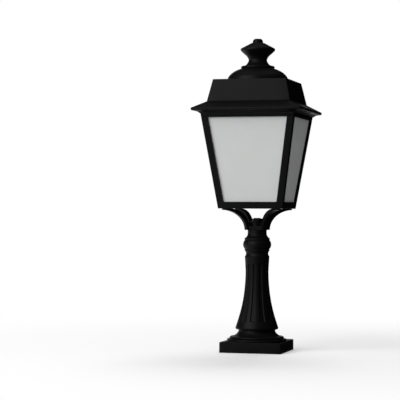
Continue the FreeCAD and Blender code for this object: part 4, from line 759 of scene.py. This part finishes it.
envelope = varied("opal_lamp_envelope", 30 * MM, "#ECEBE6", "#F2F1ED", (0.14, 0.18),
                  18 * MM, 0.05 * MM, IOR=1.5, Subsurface_Weight=0.1,
                  Subsurface_Scale=2 * MM)
piece("lamp_envelope", carried(bulb_line, circle_plan(96), closed=False), envelope,
      "opal_lamp_envelope", "lamp", "lamp_bulb")

# ======================== roof yoke and stud
# A folded zinc-plated bar across the cage's top, with a threaded stud that rises
# through the roof. The roof sits on a rubber gasket round the upper rail.
dress(zinc, "roof_yoke", "roof_stud", "stud_nuts")
dress(stainless, "yoke_screws")
dress(rubber, "roof_gasket")

# ======================== roof eave
# A square aluminium casting, hollow inside: a cove over the cage's top, a soffit, an
# upright fascia and a slope up to the roof box, which is screwed down on it.
EAVE_FOOT, ROOF_FOOT, ROOF_TOP = 608.0, 639.5, 696.5
EAVE_HALF, FASCIA_FOOT, FASCIA_TOP, EAVE_CORNER = 141.3, 616.0, 621.5, 1.4
COVE_START, COVE_THROUGH, COVE_END = (122.15, EAVE_FOOT), (126.41, 611.63), (136.85, 614.6)
EAVE_IN, ROOF_HALF, ROOF_FLANGE = 112.35, 107.9, 97.0
EAVE_INSIDE = [(107.02, 636.0), (131.8, 622.64), (131.8, 617.4), (122.15, 612.9),
               (EAVE_IN, 611.5)]                 # the hollow, from the roof box down
eave_profile = softened(np.vstack([
    [(EAVE_IN, EAVE_FOOT)],
    arc(COVE_THROUGH, COVE_START, COVE_END),
    [(EAVE_HALF, FASCIA_FOOT), (EAVE_HALF, FASCIA_TOP), (ROOF_HALF, ROOF_FOOT),
     (ROOF_FLANGE, ROOF_FOOT), (ROOF_FLANGE, EAVE_INSIDE[0][1])], EAVE_INSIDE]), edge=0.5)
casting("eave_casting", carried(eave_profile, square_plan(EAVE_CORNER)), "roof",
        "roof_eave")

# ======================== roof box
# Four flat leaning panels with a flat top, one aluminium casting, with a flange inside
# its foot for the screws into the eave. The stud passes through the middle of its top.
ROOF_TOP_HALF, STUD_HOLE = 95.35, 4.4
BOX_CEILING, BOX_CEILING_HALF = 693.5, 93.51
BOX_FLANGE_TOP, BOX_FLANGE_OUT = 642.0, 104.85
BOX_CORNER, ROUND_WITHIN = 1.5, 60.0             # the stud's hole is round
roof_profile = softened([
    (ROOF_FLANGE, ROOF_FOOT), (ROOF_HALF, ROOF_FOOT), (ROOF_TOP_HALF, ROOF_TOP),
    (STUD_HOLE, ROOF_TOP), (STUD_HOLE, BOX_CEILING), (BOX_CEILING_HALF, BOX_CEILING),
    (BOX_FLANGE_OUT, BOX_FLANGE_TOP), (ROOF_FLANGE, BOX_FLANGE_TOP)], edge=0.6)
casting("roof_box_casting",
        carried(roof_profile, square_plan(BOX_CORNER), roof_profile[:, 0] < ROUND_WITHIN),
        "roof", "roof_box")

# ======================== roof dome
# A spun aluminium dome, 2.5 mm thick, with a flat land for the finial and a foot turned
# inwards for its screws.
LAND, DOME_R, DOME_RISE, DOME_WALL = 729.41, 79.0, 38.5, 2.5
DOME_FOOT_IN, DOME_FOOT_T = 58.0, 3.0
inner_r, inner_rise = DOME_R - DOME_WALL, DOME_RISE - DOME_WALL
outer_dome = ellipse((0, ROOF_TOP), DOME_R, DOME_RISE,
                     0, math.asin((LAND - ROOF_TOP) / DOME_RISE))
inner_dome = ellipse((0, ROOF_TOP), inner_r, inner_rise,
                     math.asin((LAND - DOME_WALL - ROOF_TOP) / inner_rise),
                     math.asin(DOME_FOOT_T / inner_rise))
dome_profile = softened(np.vstack([
    [(DOME_FOOT_IN, ROOF_TOP)], outer_dome, [(STUD_HOLE, LAND), (STUD_HOLE, LAND - DOME_WALL)],
    inner_dome, [(DOME_FOOT_IN, ROOF_TOP + DOME_FOOT_T)]]), edge=0.4, spacing=5.0, turn=5.0)
casting("dome_spinning", carried(dome_profile, circle_plan(128)), "roof", "roof_dome")
dress(stainless, "roof_screws", "dome_screws")

# ======================== finial
# A turned aluminium casting screwed on to the roof stud, which clamps the roof: flange,
# waist, a double cone with a rounded rim, and a nub. A rubber washer seals it.
FINIAL_FOOT, STUD_BORE, STUD_BORE_DEPTH = 730.41, 4.05, 30.0
FLANGE_R, FLANGE_SIDE, FLANGE_EDGE, FLANGE_TOP = 43.5, 2.0, (42.6, 4.1), (40.5, 5.0)
# the heights from here to the nub are counted from the finial's foot
WAIST_FOOT, WAIST_R = (36.5, 5.0), (23.4, 21.0)
WAIST_HOLLOW = ((36.5 + 23.4) / 2 - 2.2, 11.4)
CONE_HOLLOW, CONE_FOOT = (25.8, 26.5), (34.0, 35.4)
RIM = ((44.6, 47.75), (44.2, 45.0), (43.8, 50.5))            # through, start and end
CONE_TOP, NUB_FOOT = (17.4, 64.5), (13.4, 65.5)
NUB_SIDE, NUB_TOP = (13.0, 69.9), (8.5, 75.5)


def above_foot(*points):
    """Finial points moved up from heights above its foot to heights in the frame."""
    return [(r, FINIAL_FOOT + z) for r, z in points]


finial_profile = softened(np.vstack([
    above_foot((0, STUD_BORE_DEPTH), (STUD_BORE, STUD_BORE_DEPTH), (STUD_BORE, 0),
               (FLANGE_R, 0), (FLANGE_R, FLANGE_SIDE)),
    arc(*above_foot(FLANGE_EDGE, (FLANGE_R, FLANGE_SIDE), FLANGE_TOP)),
    arc(*above_foot(WAIST_HOLLOW, WAIST_FOOT, WAIST_R)),
    arc(*above_foot(CONE_HOLLOW, WAIST_R, CONE_FOOT)),
    arc(*above_foot(*RIM)),
    above_foot(CONE_TOP, NUB_FOOT),
    arc(*above_foot(NUB_SIDE, NUB_FOOT, NUB_TOP)),
    above_foot((0, NUB_TOP[1]))]), edge=0.45, closed=False, spacing=5.0, turn=9.0)
finial_profile[:, 0] = np.maximum(finial_profile[:, 0], 0)
casting("finial_casting", carried(finial_profile, circle_plan(112), closed=False),
        "finial", "finial")
dress(rubber, "finial_washer")

# ======================== floor and light
# A white studio floor and surround. Camera rays see both as white, and the floor keeps
# the object's shadow. Reflections see them only where the real sweep of white stands,
# behind the object and under it to its left: the studio's right side is dim.
FLOOR_HALF = 40.0                                # metres, as all sizes in this section
SWEEP_RIGHT, SWEEP_FADE = 0.10, 0.3              # the white floor's right end in reflections
SWEEP_FRONT = (-2.6, -1.0)                       # it fades out between these in front
SHADOW_REACH = (0.3, 1.5)                        # from here outwards the floor turns white
FLOOR_WHITE, FLOOR_GLOW = "#F4F4F4", 0.15        # the paper, and the glow that lifts it
FLOOR_MATT, STUDIO_DIM = "#989898", "#303030"    # to bounced light, and to reflections
WHITE = linear("#FFFFFF")
corners = [(x * FLOOR_HALF, y * FLOOR_HALF, 0) for x, y in ((-1, -1), (1, -1), (1, 1), (-1, 1))]
floor_mesh = bpy.data.meshes.new("floor")
floor_mesh.from_pydata(corners, [], [(0, 1, 2, 3)])
floor = bpy.data.objects.new("floor", floor_mesh)
bpy.context.scene.collection.objects.link(floor)
pale_floor, tree = blank_material("pale_studio_floor")
floor_mesh.materials.append(pale_floor)
place = add(tree, "ShaderNodeTexCoord").outputs["Object"]
split = add(tree, "ShaderNodeSeparateXYZ", {0: place}).outputs
side_part = add(tree, "ShaderNodeMapRange", {
    "Value": split["X"], "From Min": SWEEP_RIGHT, "From Max": SWEEP_RIGHT - SWEEP_FADE},
    interpolation_type="SMOOTHSTEP")
front_part = add(tree, "ShaderNodeMapRange", {
    "Value": split["Y"], "From Min": SWEEP_FRONT[0], "From Max": SWEEP_FRONT[1]},
    interpolation_type="SMOOTHSTEP")
sweep = add(tree, "ShaderNodeMath", {0: side_part.outputs[0], 1: front_part.outputs[0]},
            operation="MULTIPLY").outputs[0]
rays = add(tree, "ShaderNodeLightPath").outputs
mirrored_ray = add(tree, "ShaderNodeMath", {
    0: rays["Is Glossy Ray"], 1: rays["Is Transmission Ray"]}, operation="MAXIMUM").outputs[0]
mirrored = add(tree, "ShaderNodeMath", {0: mirrored_ray, 1: sweep},
               operation="MULTIPLY").outputs[0]
seen = add(tree, "ShaderNodeMath", {0: rays["Is Camera Ray"], 1: mirrored},
           operation="MAXIMUM").outputs[0]
away = add(tree, "ShaderNodeVectorMath", {0: place}, operation="LENGTH").outputs["Value"]
lift = add(tree, "ShaderNodeMapRange", {
    "Value": away, "From Min": SHADOW_REACH[0], "From Max": SHADOW_REACH[1]},
    interpolation_type="SMOOTHSTEP").outputs["Result"]
tone = add(tree, "ShaderNodeMix", {
    "Factor": mirrored_ray, COLOUR_A: linear(FLOOR_MATT), COLOUR_B: linear(STUDIO_DIM)},
    data_type="RGBA")
matt = add(tree, "ShaderNodeBsdfDiffuse", {"Color": tone.outputs[COLOUR_OUT]})
white = add(tree, "ShaderNodeBsdfDiffuse", {"Color": linear(FLOOR_WHITE)})
glow = add(tree, "ShaderNodeEmission", {"Color": WHITE, "Strength": FLOOR_GLOW})
near = add(tree, "ShaderNodeAddShader", {0: white.outputs[0], 1: glow.outputs[0]})
far = add(tree, "ShaderNodeEmission", {"Color": WHITE, "Strength": 1.0})
pale = add(tree, "ShaderNodeMixShader", {0: lift, 1: near.outputs[0], 2: far.outputs[0]})
mixed = add(tree, "ShaderNodeMixShader", {0: seen, 1: matt.outputs[0], 2: pale.outputs[0]})
# from below the floor is clear, so that the object's underside can be seen
under = add(tree, "ShaderNodeNewGeometry").outputs["Backfacing"]
clear = add(tree, "ShaderNodeBsdfTransparent")
sided = add(tree, "ShaderNodeMixShader", {0: under, 1: mixed.outputs[0], 2: clear.outputs[0]})
add(tree, "ShaderNodeOutputMaterial", {"Surface": sided.outputs[0]})

SWEEP_TURN = math.radians(24)                    # the white surround's middle, left of +Y
SWEEP_AXIS = (-math.sin(SWEEP_TURN), math.cos(SWEEP_TURN), 0)
SWEEP_EDGE = (0.90, 0.975)                       # cosines off its middle: end and full white
CEILING_FROM, CEILING_TO, CEILING_LEVEL = 0.65, 0.9, 0.35    # a pale ceiling, by height
FILL_LEVEL = 0.27                                # what the whole surround gives as light
world = bpy.data.worlds.new("studio")
bpy.context.scene.world = world
world.use_nodes = True
tree = world.node_tree
tree.nodes.clear()
toward = add(tree, "ShaderNodeTexCoord").outputs["Generated"]
facing = add(tree, "ShaderNodeVectorMath", {0: toward, 1: SWEEP_AXIS},
             operation="DOT_PRODUCT").outputs["Value"]
sweep = add(tree, "ShaderNodeMapRange", {
    "Value": facing, "From Min": SWEEP_EDGE[0], "From Max": SWEEP_EDGE[1]},
    interpolation_type="SMOOTHSTEP").outputs["Result"]
rays = add(tree, "ShaderNodeLightPath").outputs
mirrored = add(tree, "ShaderNodeMath", {
    0: rays["Is Glossy Ray"], 1: rays["Is Transmission Ray"]}, operation="MAXIMUM").outputs[0]
behind = add(tree, "ShaderNodeMath", {0: mirrored, 1: sweep},
             operation="MULTIPLY").outputs[0]
seen = add(tree, "ShaderNodeMath", {0: rays["Is Camera Ray"], 1: behind},
           operation="MAXIMUM").outputs[0]
height = add(tree, "ShaderNodeSeparateXYZ", {0: toward}).outputs["Z"]
ceiling = add(tree, "ShaderNodeMapRange", {
    "Value": height, "From Min": CEILING_FROM, "From Max": CEILING_TO,
    "To Min": 0.0, "To Max": CEILING_LEVEL}).outputs["Result"]
level = add(tree, "ShaderNodeMix", {
    "Factor": mirrored, "A": FILL_LEVEL, "B": ceiling}).outputs["Result"]
fill = add(tree, "ShaderNodeBackground", {"Color": WHITE, "Strength": level})
backdrop = add(tree, "ShaderNodeBackground", {"Color": WHITE, "Strength": 1.0})
mixed = add(tree, "ShaderNodeMixShader", {0: seen, 1: fill.outputs[0], 2: backdrop.outputs[0]})
add(tree, "ShaderNodeOutputWorld", {"Surface": mixed.outputs[0]})

CAGE_MIDDLE = Vector((0, 0, 0.45))


def softbox(name, azimuth, elevation, distance, size, strength):
    """A square area lamp aimed at the cage. Azimuth 0 is the front, 90 is the right.

    At a strength of 1 a white face turned to it, at its distance, shows as white: the
    energy is strength times pi squared times the distance squared.
    """
    a, e = math.radians(azimuth), math.radians(elevation)
    away = Vector((math.sin(a) * math.cos(e), -math.cos(a) * math.cos(e), math.sin(e)))
    lamp = bpy.data.lights.new(name, "AREA")
    lamp.shape = "SQUARE"
    lamp.size = size
    lamp.energy = strength * math.pi * math.pi * distance ** 2
    made = bpy.data.objects.new(name, lamp)
    made.location = CAGE_MIDDLE + away * distance
    made.rotation_mode = "QUATERNION"
    made.rotation_quaternion = away.to_track_quat("Z", "Y")
    bpy.context.scene.collection.objects.link(made)
    return made


softbox("key", azimuth=-35, elevation=28, distance=4.5, size=4.2, strength=0.86)
top_back = softbox("top_back", azimuth=184, elevation=58, distance=3.5, size=1.6,
                   strength=0.40)
top_back.visible_glossy = False                  # it lights the top, and no gloss shows it

# ======================== camera
# The photograph's own view: a long lens from the right of the front, nearly level. Its
# angles, place and focal length are fitted to the object's edges in the photograph.
CAMERA_YAW, CAMERA_PITCH, CAMERA_ROLL = 0.261950, -0.0070409, 0.0040175      # radians
CAMERA_PLACE = (0.956547, -4.139494, 0.359387)
FOCAL_PIXELS, FRAME_PIXELS, SENSOR_MM = 1644.12, 400, 36.0
forward = Vector((-math.sin(CAMERA_YAW) * math.cos(CAMERA_PITCH),
                  math.cos(CAMERA_YAW) * math.cos(CAMERA_PITCH), -math.sin(CAMERA_PITCH)))
level = Vector((math.cos(CAMERA_YAW), math.sin(CAMERA_YAW), 0))
over = level.cross(forward)
right = level * math.cos(CAMERA_ROLL) + over * math.sin(CAMERA_ROLL)
above = over * math.cos(CAMERA_ROLL) - level * math.sin(CAMERA_ROLL)
camera = bpy.data.objects.new("camera", bpy.data.cameras.new("camera"))
camera.data.sensor_width = SENSOR_MM
camera.data.lens = FOCAL_PIXELS * SENSOR_MM / FRAME_PIXELS
camera.data.clip_end = 100.0
camera.matrix_world = Matrix((right, above, -forward)).transposed().to_4x4()
camera.location = CAMERA_PLACE
bpy.context.scene.collection.objects.link(camera)
bpy.context.scene.camera = camera
bpy.context.scene.view_settings.view_transform = "Standard"
